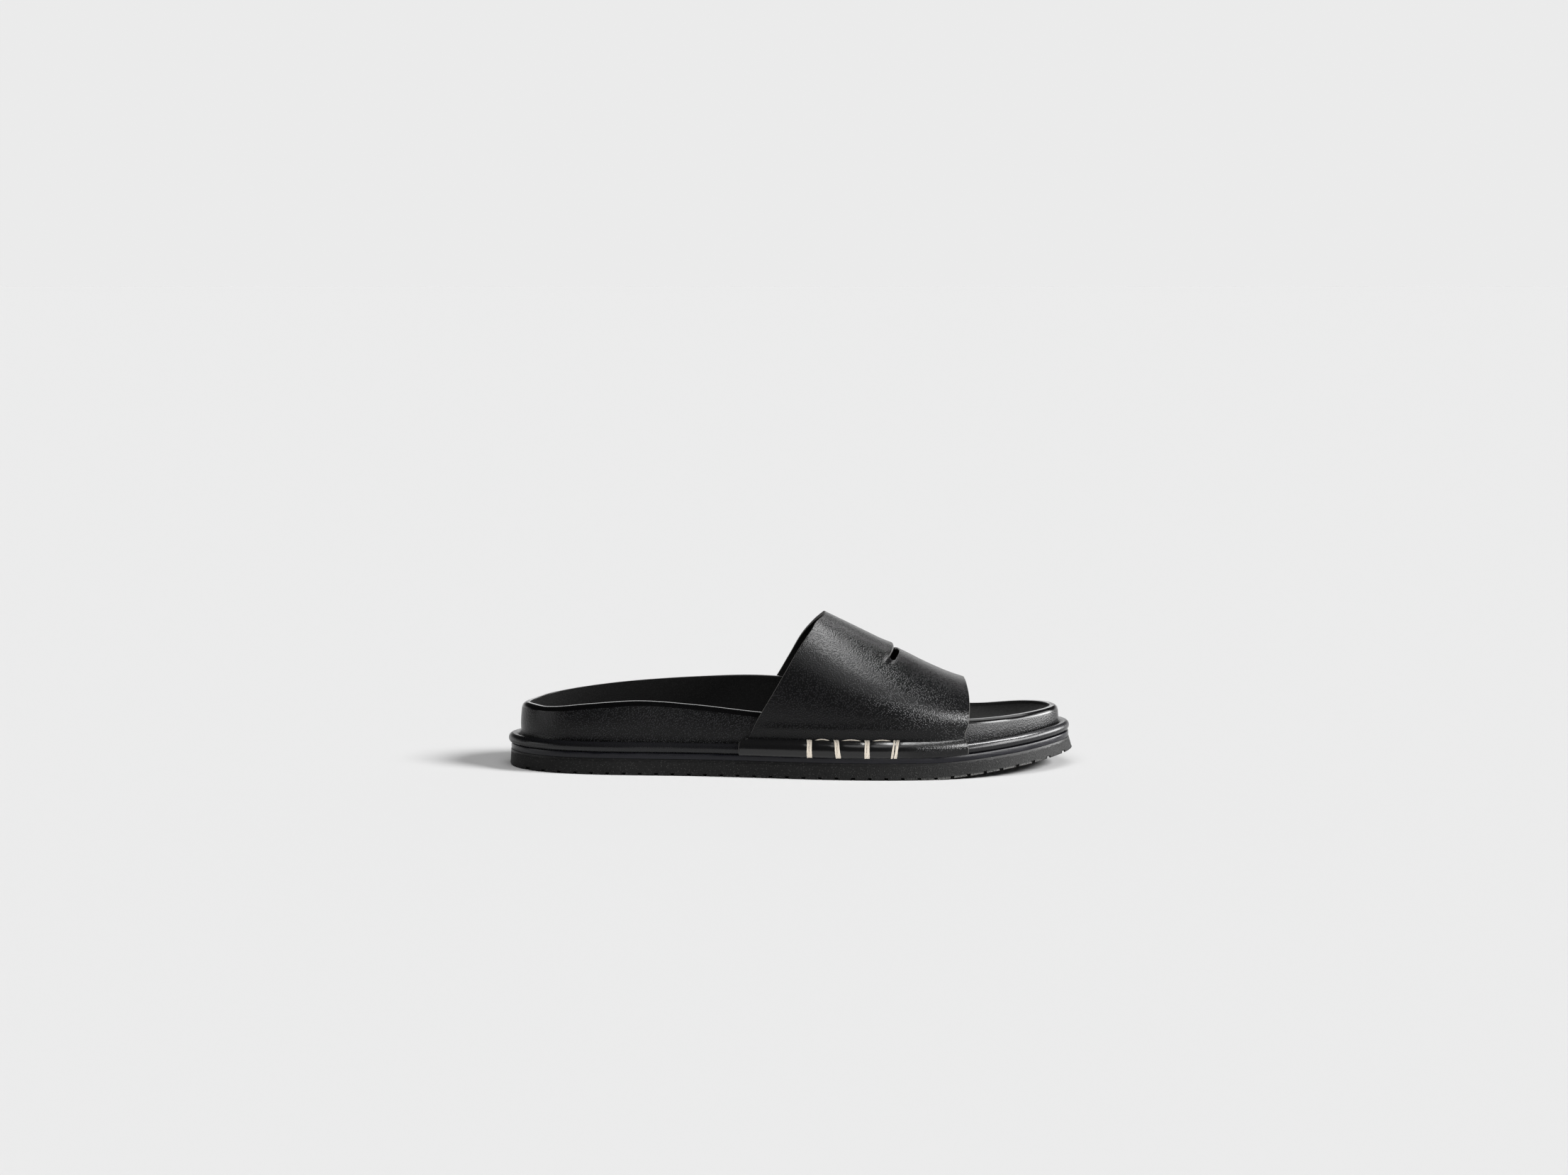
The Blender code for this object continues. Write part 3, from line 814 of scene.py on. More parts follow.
@dataclass
class Outsole:
    """Rubber outsole with toe spring, a flared side and straight tread grooves across its underside."""

    last: Last
    flare_heel: float = 0.4
    flare_toe: float = 1.6
    edge: float = 0.35
    top_edge: float = 0.12
    flash_height: float = 0.35
    flash_width: float = 0.22
    flash_reach: float = 0.14
    worn_width: float = 0.11
    worn_from: float = 45.0
    worn_from_run: float = 40.0
    worn_to: float = 120.0
    worn_to_run: float = 10.0
    crisp: float = 42.0
    groove_pitch: float = 8.2
    groove_width: float = 1.7
    groove_depth: float = 1.2
    groove_first: float = -133.1
    groove_count: int = 34
    fill_stations: int = 3
    end_stations: int = 18
    arc_steps: int = 5
    side_steps: int = 8
    bottom_columns: int = 25
    top_columns: int = 5

    def flare(self, x: np.ndarray) -> np.ndarray:
        """How far the foot of the side stands out past its upper edge, growing with the cube of x."""
        share = np.clip((x - self.last.heel_x) / (self.last.toe_x - self.last.heel_x), 0.0, 1.0)
        return self.flare_heel + (self.flare_toe - self.flare_heel) * share**3

    def stations(self) -> tuple[np.ndarray, np.ndarray]:
        """Places along the sole with both walls of each groove, and the groove's depth at each.

        Returns:
            Stations from heel to toe, with two at each wall, and the depth at each station.
        """
        half = self.groove_width / 2
        centres = self.groove_first + self.groove_pitch * np.arange(self.groove_count)
        fill = np.arange(1, self.fill_stations + 1) / (self.fill_stations + 1)
        beside = half + (self.groove_pitch - self.groove_width) * fill
        offsets = np.concatenate([[-half, -half, 0.0, half, half], beside])
        sunk = np.concatenate([[0.0, 1.0, 1.0, 1.0, 0.0], np.zeros(self.fill_stations)])
        x = (centres[:, None] + offsets).ravel()[: -self.fill_stations]
        depth = self.groove_depth * np.tile(sunk, self.groove_count)[: -self.fill_stations]
        turn = np.linspace(0.0, math.pi / 2, self.end_stations, endpoint=False)
        heel = self.last.heel_x + (x[0] - self.last.heel_x) * (1.0 - np.cos(turn))
        toe = self.last.toe_x - (self.last.toe_x - x[-1]) * (1.0 - np.cos(turn[::-1]))
        flat = np.zeros(self.end_stations)
        return np.concatenate([heel, x, toe]), np.concatenate([flat, depth, flat])

    def build(self) -> list[bpy.types.Object]:
        """Side from rounded foot to rounded top, with a fine flash line by the floor, and both flat faces.

        Each level is below + share * (top - underside) over the underside, and no lower than a groove.

        Returns:
            The outsole.
        """
        x, depth = self.stations()
        flare = self.flare(x)
        turn = np.linspace(0.0, math.pi / 2, self.arc_steps)[:, None]
        rise = np.linspace(0.0, 1.0, self.side_steps + 1)[1:-1, None]
        foot_in, foot_up = self.edge * (1.0 - np.sin(turn)) - flare, self.edge * (1.0 - np.cos(turn))
        top_in, top_up = self.top_edge * (1.0 - np.cos(turn)), -self.top_edge * (1.0 - np.sin(turn))
        inset = np.concatenate([foot_in, -flare * (1.0 - rise), top_in + 0.0 * flare])
        below = np.concatenate([foot_up, self.edge - (self.edge + self.top_edge) * rise, top_up])
        share = np.concatenate([0.0 * turn, rise, 0.0 * turn + 1.0])
        flash = hump(below - self.flash_height, self.flash_width) * (share == 0.0)
        inset = inset - self.flash_reach * flash

        def height(at: np.ndarray, side: Side) -> np.ndarray:
            """Height of every level, lifted to the ceiling of a groove."""
            low, top = self.last.underside(at), self.last.level(at, self.last.outsole_top)
            return np.maximum(low + below + share * (top - low), low + depth)

        skin = self.last.loft(x, inset, height)
        top = self.last.level(skin[..., 0], self.last.outsole_top)
        # Painted highlight: marks a pale line along the foot of the side towards the toe, for light on the
        # bottom edge.
        worn = hump(below - self.flash_height, self.worn_width) * (share == 0.0)
        worn = worn * ease((skin[..., 0] - self.worn_from) / self.worn_from_run)
        worn = worn * (1.0 - ease((skin[..., 0] - self.worn_to) / self.worn_to_run))
        marks = {"from_top": top - skin[..., 2], "worn": worn}
        under = across(skin[0], self.bottom_columns)
        over = across(skin[-1], self.top_columns)
        patches = [
            Patch(skin, marks),
            Patch(under, {"from_top": np.full(under.shape[:2], self.last.outsole_top)}),
            Patch(over),
        ]
        piece = make_piece("outsole_rubber", patches, self.crisp)
        return [fit(piece, SOLE_RUBBER, "outsole_rubber", "outsole")]


@dataclass
class Midsole:
    """Smooth lacquered layer between the outsole and the footbed."""

    last: Last
    inset: float = 0.2
    edge: float = 0.3
    low_edge: float = 0.12
    belly: float = 0.12
    gap: float = 0.03
    station_count: int = 260
    arc_steps: int = 5
    side_steps: int = 5
    cap_columns: int = 7
    crisp: float = 60.0

    def build(self) -> list[bpy.types.Object]:
        """Side between two rounded edges, bellied by a sine, and both flat faces.

        Returns:
            The midsole.
        """
        x = self.last.stations(self.station_count)
        low = self.last.outsole_top + self.gap
        top = self.last.midsole_top
        turn = np.linspace(0.0, math.pi / 2, self.arc_steps)
        rise = np.linspace(0.0, 1.0, self.side_steps + 1)[1:-1]
        tall = top - low - self.edge - self.low_edge
        inset = self.inset + np.concatenate([
            self.low_edge * (1.0 - np.sin(turn)),
            0.0 * rise,
            self.edge * (1.0 - np.cos(turn)),
        ])
        level = np.concatenate([
            low + self.low_edge * (1.0 - np.cos(turn)),
            low + self.low_edge + tall * rise,
            top - self.edge * (1.0 - np.sin(turn)),
        ])
        inset = inset - self.belly * np.sin(math.pi * (level - low) / (top - low))
        skin = self.last.loft(x, inset[:, None], lambda at, side: self.last.level(at, level[:, None]))
        patches = [Patch(skin)] + [Patch(across(skin[row], self.cap_columns)) for row in (0, -1)]
        piece = make_piece("midsole_band", patches, self.crisp)
        return [fit(piece, EDGE_LACQUER, "midsole_lacquer", "midsole")]


@dataclass
class Piping:
    """Round leather-covered cord all the way round the foot of the footbed."""

    last: Last
    station_count: int = 420
    sides: int = 28
    fuller: float = 0.16
    lower: float = 0.2
    lump: float = 0.05
    lump_length: float = 17.0
    long_lump_length: float = 17.0 / 0.37
    crisp: float = 80.0

    def build(self) -> list[bpy.types.Object]:
        """Circle carried round the outline, its radius swelling a little in long waves.

        Returns:
            The piping.
        """
        x = self.last.stations(self.station_count)
        turn = np.linspace(0.0, 2.0 * math.pi, self.sides + 1)[:, None]
        round_x = 2.0 * math.pi * x
        wave = np.sin(round_x / self.lump_length) + np.sin(round_x / self.long_lump_length)
        radius = self.last.piping_radius + self.fuller + self.lump * wave / 2.0
        inset = self.last.piping_inset(x) - radius * np.cos(turn)

        def height(at: np.ndarray, side: Side) -> np.ndarray:
            """Height of the circle's points round its middle."""
            return self.last.level(at, self.last.piping_centre - self.lower) + radius * np.sin(turn)

        skin = self.last.loft(x, inset, height)
        piece = make_piece("piping_cord", [Patch(skin)], self.crisp)
        return [fit(piece, PIPING_LEATHER, "piping_leather", "welt_piping")]


@dataclass
class Footbed:
    """Moulded footbed: a wrapped wall with a rounded rim, and a lining let into its hollow."""

    last: Last
    base_edge: float = 0.6
    wall_inset: float = 5.6
    wall_lean_share: float = 5.0 / 14.0
    wall_belly: float = 0.035
    taut_run: float = math.radians(14.0)
    rim_radius: float = 3.0
    rim_turn: float = math.radians(138.0)
    seam_turn: float = math.radians(110.0)
    lining_turn: float = math.radians(115.0)
    lining_thick: float = 1.0
    lining_gap: float = 0.06
    lining_edge: float = 0.4
    lip: float = 0.06
    lip_run: float = math.radians(16.0)
    wrap_edge: float = 0.35
    dish_power: float = 2.6
    dish_end_run: float = 34.0
    station_count: int = 320
    wall_steps: int = 12
    rim_steps: int = 22
    edge_steps: int = 5
    dish_columns: int = 49
    base_columns: int = 7
    crisp: float = 60.0

    def rim_level(self, turn: np.ndarray, radius: np.ndarray) -> tuple[np.ndarray, np.ndarray]:
        """Inset and drop below the rim's crest of a point on the rim's round.

        Args:
            turn: Angle from the wall, over the crest, to the inside.
            radius: Distance from the middle of the round.

        Returns:
            Inset, and height less that of the rim.
        """
        middle = self.wall_inset + self.rim_radius
        return middle - radius * np.cos(turn), radius * np.sin(turn) - self.rim_radius

    def dish(self, ring: np.ndarray, lowered: float) -> np.ndarray:
        """Rows across the hollow, steep at its rim and ends and flat between them.

        The floor of a row is the hollow, raised to the rim by the end climb to a power; each side then
        rises from the floor to its edge by the share across to the same power.

        Args:
            ring: The hollow's edge.
            lowered: How far the floor lies under the finished surface.

        Returns:
            Points by station and column.
        """
        rows = across(ring, self.dish_columns)
        x = rows[..., 0]
        from_end = np.minimum(x - ring[0, 0], ring[len(ring) // 2, 0] - x)
        climb = np.clip(1.0 - from_end / self.dish_end_run, 0.0, 1.0) ** self.dish_power
        outer, inner = rows[:, :1, 2], rows[:, -1:, 2]
        low = self.last.heights.at("hollow", x) - lowered
        low = low + (np.minimum(outer, inner) - low) * climb
        lean = np.linspace(-1.0, 1.0, self.dish_columns)
        rise = np.clip(-lean, 0.0, None) ** self.dish_power * (outer - low)
        rise = rise + np.clip(lean, 0.0, None) ** self.dish_power * (inner - low)
        return np.concatenate([rows[..., :2], (low + rise)[..., None]], axis=-1)

    def build_wrap(self, x: np.ndarray) -> bpy.types.Object:
        """Wall from its foot to the seam on the crest, then the rebate that takes the lining.

        Wall points are share * rim + (1 - share) * foot, less belly * height * sin(pi share) above the
        middle and its square below; rim points lie on the round, from the turn where the wall meets it.

        Args:
            x: Stations from heel to toe.

        Returns:
            The wrapped footbed.
        """
        last = self.last
        base = last.midsole_top + last.seam_gap
        foot = last.piping_inset(x) + last.piping_radius + last.seam_gap
        turn = np.linspace(0.0, math.pi / 2, self.edge_steps)
        rise = np.linspace(0.0, 1.0, self.wall_steps)
        lean = ease(rise / self.wall_lean_share)
        start = math.atan(math.pi * self.wall_belly)
        round_turn = np.linspace(start, self.seam_turn, self.rim_steps)[1:]
        edge_turn = np.linspace(0.0, math.pi / 2, self.edge_steps)[1:]
        inner_turn = np.linspace(self.seam_turn, self.rim_turn, self.rim_steps // 2)[1:]
        sunk = self.rim_radius - self.lining_thick - self.lining_gap
        edge_radius = self.rim_radius - self.wrap_edge * (1.0 - np.cos(edge_turn))
        tuck = self.seam_turn + self.wrap_edge / self.rim_radius * np.sin(edge_turn)
        rim_radii = np.full(len(round_turn), self.rim_radius)
        round_inset, round_drop = self.rim_level(
            np.concatenate([round_turn, tuck, inner_turn]),
            np.concatenate([rim_radii, edge_radius, np.full(len(inner_turn), sunk)]),
        )
        wall_top = self.wall_inset + self.rim_radius * (1.0 - math.cos(start))
        tall = last.rim(x, Side.OUTER) - last.level(x, base) - self.rim_radius
        bulge = np.sin(math.pi * rise) ** np.where(rise < 0.5, 2.0, 1.0)
        wall_inset = foot + (wall_top - foot) * lean[:, None] - self.wall_belly * tall * bulge[:, None]
        inset = np.concatenate([
            foot + self.base_edge * (1.0 - np.sin(turn))[:, None],
            wall_inset,
            np.broadcast_to(round_inset[:, None], (len(round_inset), len(x))),
        ])
        above = base + self.base_edge * (1.0 - np.cos(turn))[:, None]
        shoulder = self.rim_radius * (1.0 - math.sin(start))

        def height(at: np.ndarray, side: Side) -> np.ndarray:
            """Heights of foot, wall and round, which reach from the sole's level to the rim's.

            Args:
                at: Places along the shoe, one row a level.
                side: The side they lie on.

            Returns:
                The height of each place.
            """
            foot_x, wall_x, round_x = np.split(at, np.cumsum([len(turn), len(rise)]))
            share = rise[:, None]
            low = last.level(wall_x, base + self.base_edge)
            return np.concatenate([
                last.level(foot_x, above),
                low * (1.0 - share) + (last.rim(wall_x, side) - shoulder) * share,
                last.rim(round_x, side) + round_drop[:, None],
            ])

        skin = last.loft(x, inset, height)
        floor = self.dish(skin[-1], self.lining_thick + self.lining_gap)
        taut = np.concatenate([
            np.zeros(len(turn) + len(rise)), ease((round_turn - start) / self.taut_run),
            np.ones(len(edge_turn) + len(inner_turn)),
        ])
        taut = np.broadcast_to(taut[:, None], skin.shape[:2])
        patches = [Patch(skin, {"taut": taut}), Patch(across(skin[0], self.base_columns)), Patch(floor)]
        piece = make_piece("footbed_wrap", patches, self.crisp)
        return fit(piece, WRAP_LEATHER, "footbed_leather", "footbed")

    def build_lining(self, x: np.ndarray) -> bpy.types.Object:
        """Thin sheet over the hollow: a rounded edge with a slight lip on the crest, and the dish inside.

        Args:
            x: Stations from heel to toe.

        Returns:
            The lining.
        """
        turn = np.linspace(self.lining_turn, self.rim_turn, self.rim_steps)
        corner = np.linspace(0.0, math.pi / 2, self.edge_steps)[:-1]
        lip = self.lip * hump(turn - self.lining_turn, self.lip_run)
        edge_radius = self.rim_radius + self.lip - self.lining_edge * (1.0 - np.sin(corner))
        edge_arc = self.lining_edge / self.rim_radius
        edge_turn = self.lining_turn + edge_arc * (1.0 - np.cos(corner))
        inner = np.full(len(turn), self.rim_radius - self.lining_thick)
        inset, drop = self.rim_level(
            np.concatenate([turn[::-1], edge_turn, turn + edge_arc]),
            np.concatenate([inner, edge_radius, self.rim_radius + lip]),
        )
        skin = self.last.loft(x, inset[:, None], lambda at, side: self.last.rim(at, side) + drop[:, None])
        under, over = self.dish(skin[0], self.lining_thick), self.dish(skin[-1], 0.0)
        piece = make_piece("footbed_lining", [Patch(skin), Patch(under), Patch(over)], self.crisp)
        return fit(piece, LINING_LEATHER, "lining_leather")

    def build(self) -> list[bpy.types.Object]:
        """Makes the wrapped footbed and its lining."""
        x = self.last.stations(self.station_count)
        return [self.build_wrap(x), self.build_lining(x)]


@dataclass
class StitchBars:
    """Where the thread bars cross a hem, by place along the shoe, and how many strands each has."""

    top: tuple[float, ...] = (9.0, 22.2, 37.7, 52.5)
    bottom: tuple[float, ...] = (9.2, 23.6, 37.7, 50.8)
    start: tuple[float, ...] = (0.11, 0.03, 0.02, 0.02)
    parted: tuple[float, ...] = (0.0, 0.0, 0.0, 0.22)
    strands: int = 5
    strand_radius: float = 0.31
    strand_pitch: float = 0.5


@dataclass
class Strap:
    """Leather band over the foot: one wall from hem to hem, with a keeper slit and rolled lower edges."""

    last: Last
    bars: StitchBars = field(default_factory=StitchBars)
    thick: float = 1.4
    crown_thicker: float = 0.3
    inset: float = 3.7
    hem_bulge: float = 1.2
    hem_lip_turn: float = math.radians(-42.0)
    crease_drop: float = 1.6
    wall_below_rim: float = 3.0
    crown_y: float = 3.0
    arch_girth: float = 0.5
    wall_girth: float = 0.1
    hem_girth: float = 0.4
    crease_share: float = 0.25
    edge_round: float = 0.32
    edge_steps: int = 4
    halvings: int = 34
    slit_x: float = 54.0
    slit_half_length: float = 26.5
    slit_width: float = 3.2
    slit_sweep: float = 1.8
    slit_lift: float = 1.0
    slit_sink: float = 0.5
    slit_run: float = 5.5
    slit_rear_round: float = 0.66
    slit_front_round: float = 0.4
    slit_cut: float = 0.25
    slit_shut: float = 1e-4
    slit_past: tuple[float, float] = (1.015, 1.03)
    pucker: float = 0.5
    pucker_width: float = 1.1
    pucker_ridge_behind: float = 1.3
    pucker_trough_ahead: float = 0.8
    pucker_trough: float = 0.9
    pucker_from: float = 0.86
    pucker_from_run: float = 0.14
    pucker_to: float = 1.04
    pucker_to_run: float = 0.22
    ridge: float = 0.45
    ridge_above: float = 5.2
    ridge_width: float = 2.4
    ridge_from: float = -22.0
    ridge_from_run: float = 16.0
    ridge_to: float = 52.0
    ridge_to_run: float = 26.0
    dimple: float = 0.3
    dimple_width: float = 2.0
    dimple_run: float = 0.2
    raw_gain: float = 1.2
    raw_start: float = 0.1
    taut_run: float = 0.04
    slack: float = 0.7
    slack_from: float = 46.0
    slack_run: float = 20.0
    arch_rows: int = 78
    wall_rows: int = 18
    hem_rows: int = 30
    slit_rows: int = 9
    rear_columns: int = 58
    front_columns: int = 54
    girth_digits: int = 6
    crisp: float = 75.0
    sections: Table = field(
        default_factory=lambda: Table(
            "x crown outer_fullness inner_fullness",
            (-30.0, 101.6, 2.1, 2.4),
            (17.3, 78.5, 2.15, 2.4),
            (52.0, 61.2, 2.15, 2.35),
            (67.0, 53.2, 2.2, 2.3),
            (81.5, 46.7, 2.3, 2.3),
            (95.0, 42.2, 2.35, 2.35),
        )
    )
    back_edge: Table = field(
        default_factory=lambda: Table(
            "z outer_x inner_x",
            (11.0, -26.0, -26.0),
            (16.5, -26.0, -26.0),
            (18.3, -25.2, -25.2),
            (19.3, -21.9, -21.9),
            (20.6, -20.6, -20.6),
            (23.0, -19.5, -19.2),
            (26.6, -17.9, -17.0),
            (32.3, -14.7, -13.4),
            (42.0, -9.0, -7.0),
            (52.4, -3.0, -0.9),
            (66.0, 5.3, 7.1),
            (72.5, 10.3, 12.4),
            (76.6, 13.7, 16.0),
            (78.5, 17.3, 17.3),
            (101.0, 33.2, 33.2),
        )
    )
    front_edge: Table = field(
        default_factory=lambda: Table(
            "z outer_x inner_x",
            (11.0, 88.2, 88.2),
            (16.5, 88.2, 88.2),
            (20.5, 86.9, 86.9),
            (27.0, 88.6, 88.6),
            (34.0, 89.3, 89.3),
            (40.0, 89.5, 89.5),
            (44.5, 89.2, 89.2),
        )
    )

    def __post_init__(self) -> None:
        """Works out the slit's direction: square to the crown line at its middle."""
        crown = self.sections.at("crown", np.array([self.slit_x, self.slit_x + 1.0]))
        slope = crown[1] - crown[0]
        self.slit_crown = crown[0]
        self.slit_along = np.array([1.0, slope]) / math.hypot(1.0, slope)

    @property
    def hem_radius(self) -> float:
        """Outer radius of the hem's roll about the piping's middle."""
        return self.last.piping_radius + self.last.seam_gap + self.thick

    def slit_place(self, points: np.ndarray) -> tuple[np.ndarray, np.ndarray]:
        """Where points lie about the slit.

        Args:
            points: Points of the strap.

        Returns:
            Distance ahead of the slit's middle line, and share of its half length from the crown.
        """
        share = np.abs(points[..., 1] - self.crown_y) / self.slit_half_length
        bend = np.where(share < 1.0, share**2, 2.0 * share - 1.0)
        ahead = (points[..., 0] - self.slit_x) * self.slit_along[0]
        ahead = ahead + (points[..., 2] - self.slit_crown) * self.slit_along[1]
        return ahead + self.slit_sweep * bend, share

    def relief(self, points: np.ndarray, above: np.ndarray) -> np.ndarray:
        """How far soft ridges and troughs lift the leather.

        A ridge runs above the crease between the hem's bars. Behind the slit the leather lifts, ahead of
        it it sinks, both fading to the slit's ends, and past each end a short pucker has a ridge on its
        rear side and a trough on its front side.

        Args:
            points: Points of the smooth strap.
            above: Height of each point over the crease.

        Returns:
            Lift along the outward normal.
        """
        x = points[..., 0]
        window = ease((x - self.ridge_from) / self.ridge_from_run)
        window = window * (1.0 - ease((x - self.ridge_to) / self.ridge_to_run))
        lift = self.ridge * hump(above - self.ridge_above, self.ridge_width) * window
        ahead, share = self.slit_place(points)
        fade = np.clip(1.0 - share**2, 0.0, 1.0)
        lift = lift + self.slit_lift * hump(ahead, self.slit_run) * (ahead < 0.0) * fade
        lift = lift - self.slit_sink * hump(ahead, self.slit_run) * (ahead >= 0.0) * fade
        past = ease((share - self.pucker_from) / self.pucker_from_run)
        past = past * (1.0 - ease((share - self.pucker_to) / self.pucker_to_run))
        trough = self.pucker_trough * hump(ahead - self.pucker_trough_ahead, self.pucker_width)
        fold = hump(ahead + self.pucker_ridge_behind, self.pucker_width) - trough
        return lift + self.pucker * past * fold

    def dimples(self, x: np.ndarray, roll: np.ndarray) -> np.ndarray:
        """How far the thread bars pull the hem in.

        Args:
            x: Places along the shoe.
            roll: Share of the hem's roll, from the crease to the lip.

        Returns:
            The pull, which starts softly past the crease.
        """
        pull = np.zeros_like(x)
        for top, bottom in zip(self.bars.top, self.bars.bottom):
            pull = pull + self.dimple * hump(x - (top + (bottom - top) * roll), self.dimple_width)
        return pull * ease(roll / self.dimple_run)

    def half(self, side: Side, x: np.ndarray, v: np.ndarray, depth: np.ndarray, folds: bool) -> np.ndarray:
        """Points of one side of the strap.

        The girth falls into three stretches: an arch, which is a superellipse from the crown to below the
        footbed's rim, an upright wall down to the crease, and the hem, an arc about the piping's middle.
        Depth is counted inwards along the normal of each.

        Args:
            side: The side to follow.
            x: Places along the shoe.
            v: Girth from 0 at the crown to 1 at the hem's lip.
            depth: Distance under the outer face.
            folds: Whether the soft ridges and troughs are laid on.

        Returns:
            The points.
        """
        last = self.last
        crown = self.sections.at("crown", x)
        power = 2.0 / self.sections.at("outer_fullness" if side is Side.OUTER else "inner_fullness", x)
        foot_y = last.side_y(side, x, lambda at: self.inset)
        pipe_y = last.side_y(side, x, last.piping_inset)
        pipe_z = last.level(x, last.piping_centre)
        wall_top = last.rim(x, side) - self.wall_below_rim
        back = np.abs(pipe_y - foot_y)
        full = self.hem_radius + self.hem_bulge
        crease_z = pipe_z + np.sqrt(full**2 - back**2)
        crease_turn = math.pi - np.arcsin(np.sqrt(1.0 - (back / full) ** 2))

        turn = np.clip(1.0 - v / self.arch_girth, 0.0, 1.0) * math.pi / 2
        c, s = np.cos(turn), np.sin(turn)
        width = np.abs(foot_y - self.crown_y)
        rise = crown - wall_top
        arch = np.stack([width * c**power, wall_top + rise * s**power], axis=-1)
        normal = np.stack([c ** (2.0 - power) / width, s ** (2.0 - power) / rise], axis=-1)
        normal /= np.linalg.norm(normal, axis=-1, keepdims=True)
        down = np.clip((v - self.arch_girth) / self.wall_girth, 0.0, 1.0)
        low = crease_z - self.crease_drop * np.clip(depth / self.thick, 0.0, None)
        upright = np.stack([width, wall_top + (low - wall_top) * down], axis=-1)

        lift = np.zeros_like(x)
        if folds:
            flat = np.where((v <= self.arch_girth)[..., None], arch, upright)
            smooth = np.stack([x, self.crown_y + side.value * flat[..., 0], flat[..., 1]], axis=-1)
            lift = self.relief(smooth, flat[..., 1] - crease_z)
        arch = arch - normal * (depth * (1.0 + self.crown_thicker * s) - lift)[..., None]
        upright[..., 0] += lift - depth

        roll = np.clip((v - self.arch_girth - self.wall_girth) / self.hem_girth, 0.0, None)
        angle = crease_turn + (self.hem_lip_turn - crease_turn) * roll
        swell = self.hem_bulge * np.clip(np.sin(angle), 0.0, 1.0) ** 2
        swell = swell + (self.hem_bulge - swell) * np.clip(1.0 - roll / self.crease_share, 0.0, 1.0)
        if folds:
            swell = swell - self.dimples(x, np.clip(roll, 0.0, 1.0))
        radius = self.hem_radius + swell - depth
        hem_y = np.abs(pipe_y - self.crown_y) + radius * np.cos(angle)
        hem = np.stack([hem_y, pipe_z + radius * np.sin(angle)], axis=-1)
        lower = np.where((roll > 0.0)[..., None], hem, upright)
        flat = np.where((v <= self.arch_girth)[..., None], arch, lower)
        return np.stack([x, self.crown_y + side.value * flat[..., 0], flat[..., 1]], axis=-1)

    def surface(self, x: np.ndarray, v: np.ndarray, depth: np.ndarray, folds: bool = True) -> np.ndarray:
        """Points of the strap.

        Args:
            x: Places along the shoe.
            v: Girth, from -1 at the outer lip through 0 at the crown to 1 at the inner lip.
            depth: Distance under the outer face.
            folds: Whether the soft ridges and troughs are laid on.

        Returns:
            The points, on the grid that the three arguments make together.
        """
        x, v, depth = (np.array(a) for a in np.broadcast_arrays(x, v, depth))
        outer = self.half(Side.OUTER, x, np.abs(v), depth, folds)
        inner = self.half(Side.INNER, x, np.abs(v), depth, folds)
        return np.where((v <= 0.0)[..., None], outer, inner)

    def solve(self, v: np.ndarray, before: Callable[[np.ndarray], np.ndarray]) -> np.ndarray:
        """x at each girth where a rule turns false, found by halving the strap's length.

        Args:
            v: Girth of each row.
            before: Tells for points of the outer face whether they lie before the line sought.

        Returns:
            x of the line at each girth.
        """
        low = np.full_like(v, self.sections.knots[0])
        high = np.full_like(v, self.sections.knots[-1])
        for _ in range(self.halvings):
            x = (low + high) / 2
            inside = before(self.surface(x, v, np.zeros_like(v), folds=False))
            low = np.where(inside, x, low)
            high = np.where(inside, high, x)
        return (low + high) / 2

    def cut_line(self, v: np.ndarray, edge: Table) -> np.ndarray:
        """Where a cut edge crosses each row.

        Args:
            v: Girth of each row.
            edge: The edge, as x over height for both sides.

        Returns:
            x of the edge at each girth.
        """
        def before(points: np.ndarray) -> np.ndarray:
            """Whether points lie behind the edge on their own side."""
            z = points[..., 2]
            return points[..., 0] < np.where(v > 0.0, edge.at("inner_x", z), edge.at("outer_x", z))

        return self.solve(v, before)

    def slit_line(self, v: np.ndarray, ahead: np.ndarray) -> np.ndarray:
        """x at each girth where the strap lies a distance ahead of the slit's middle line."""
        return self.solve(v, lambda points: self.slit_place(points)[0] < ahead)

    def rows(self) -> np.ndarray:
        """Girths of the strap's rows: even in each stretch, with more rows at the round ends of the slit.

        Returns:
            The rising girths, from the outer lip to the inner lip.
        """
        wall = self.arch_girth + self.wall_girth
        half = np.concatenate([
            np.linspace(0.0, self.arch_girth, self.arch_rows, endpoint=False),
            np.linspace(self.arch_girth, wall, self.wall_rows, endpoint=False),
            np.linspace(wall, 1.0, self.hem_rows),
        ])
        v = np.concatenate([-half[:0:-1], half])
        middle = self.slit_line(v, np.zeros_like(v))
        _, share = self.slit_place(self.surface(middle, v, np.zeros_like(v), folds=False))
        blunt = 1.0 - self.slit_width / 2 / self.slit_half_length
        turn = np.linspace(0.0, math.pi / 2, self.slit_rows)
        near_end = np.concatenate([blunt + (1.0 - blunt) * np.sin(turn), self.slit_past])
        crown = len(half) - 1
        outer = np.interp(near_end, share[crown::-1], v[crown::-1])
        inner = np.interp(near_end, share[crown:], v[crown:])
        return np.unique(np.concatenate([v, outer, inner]).round(self.girth_digits))

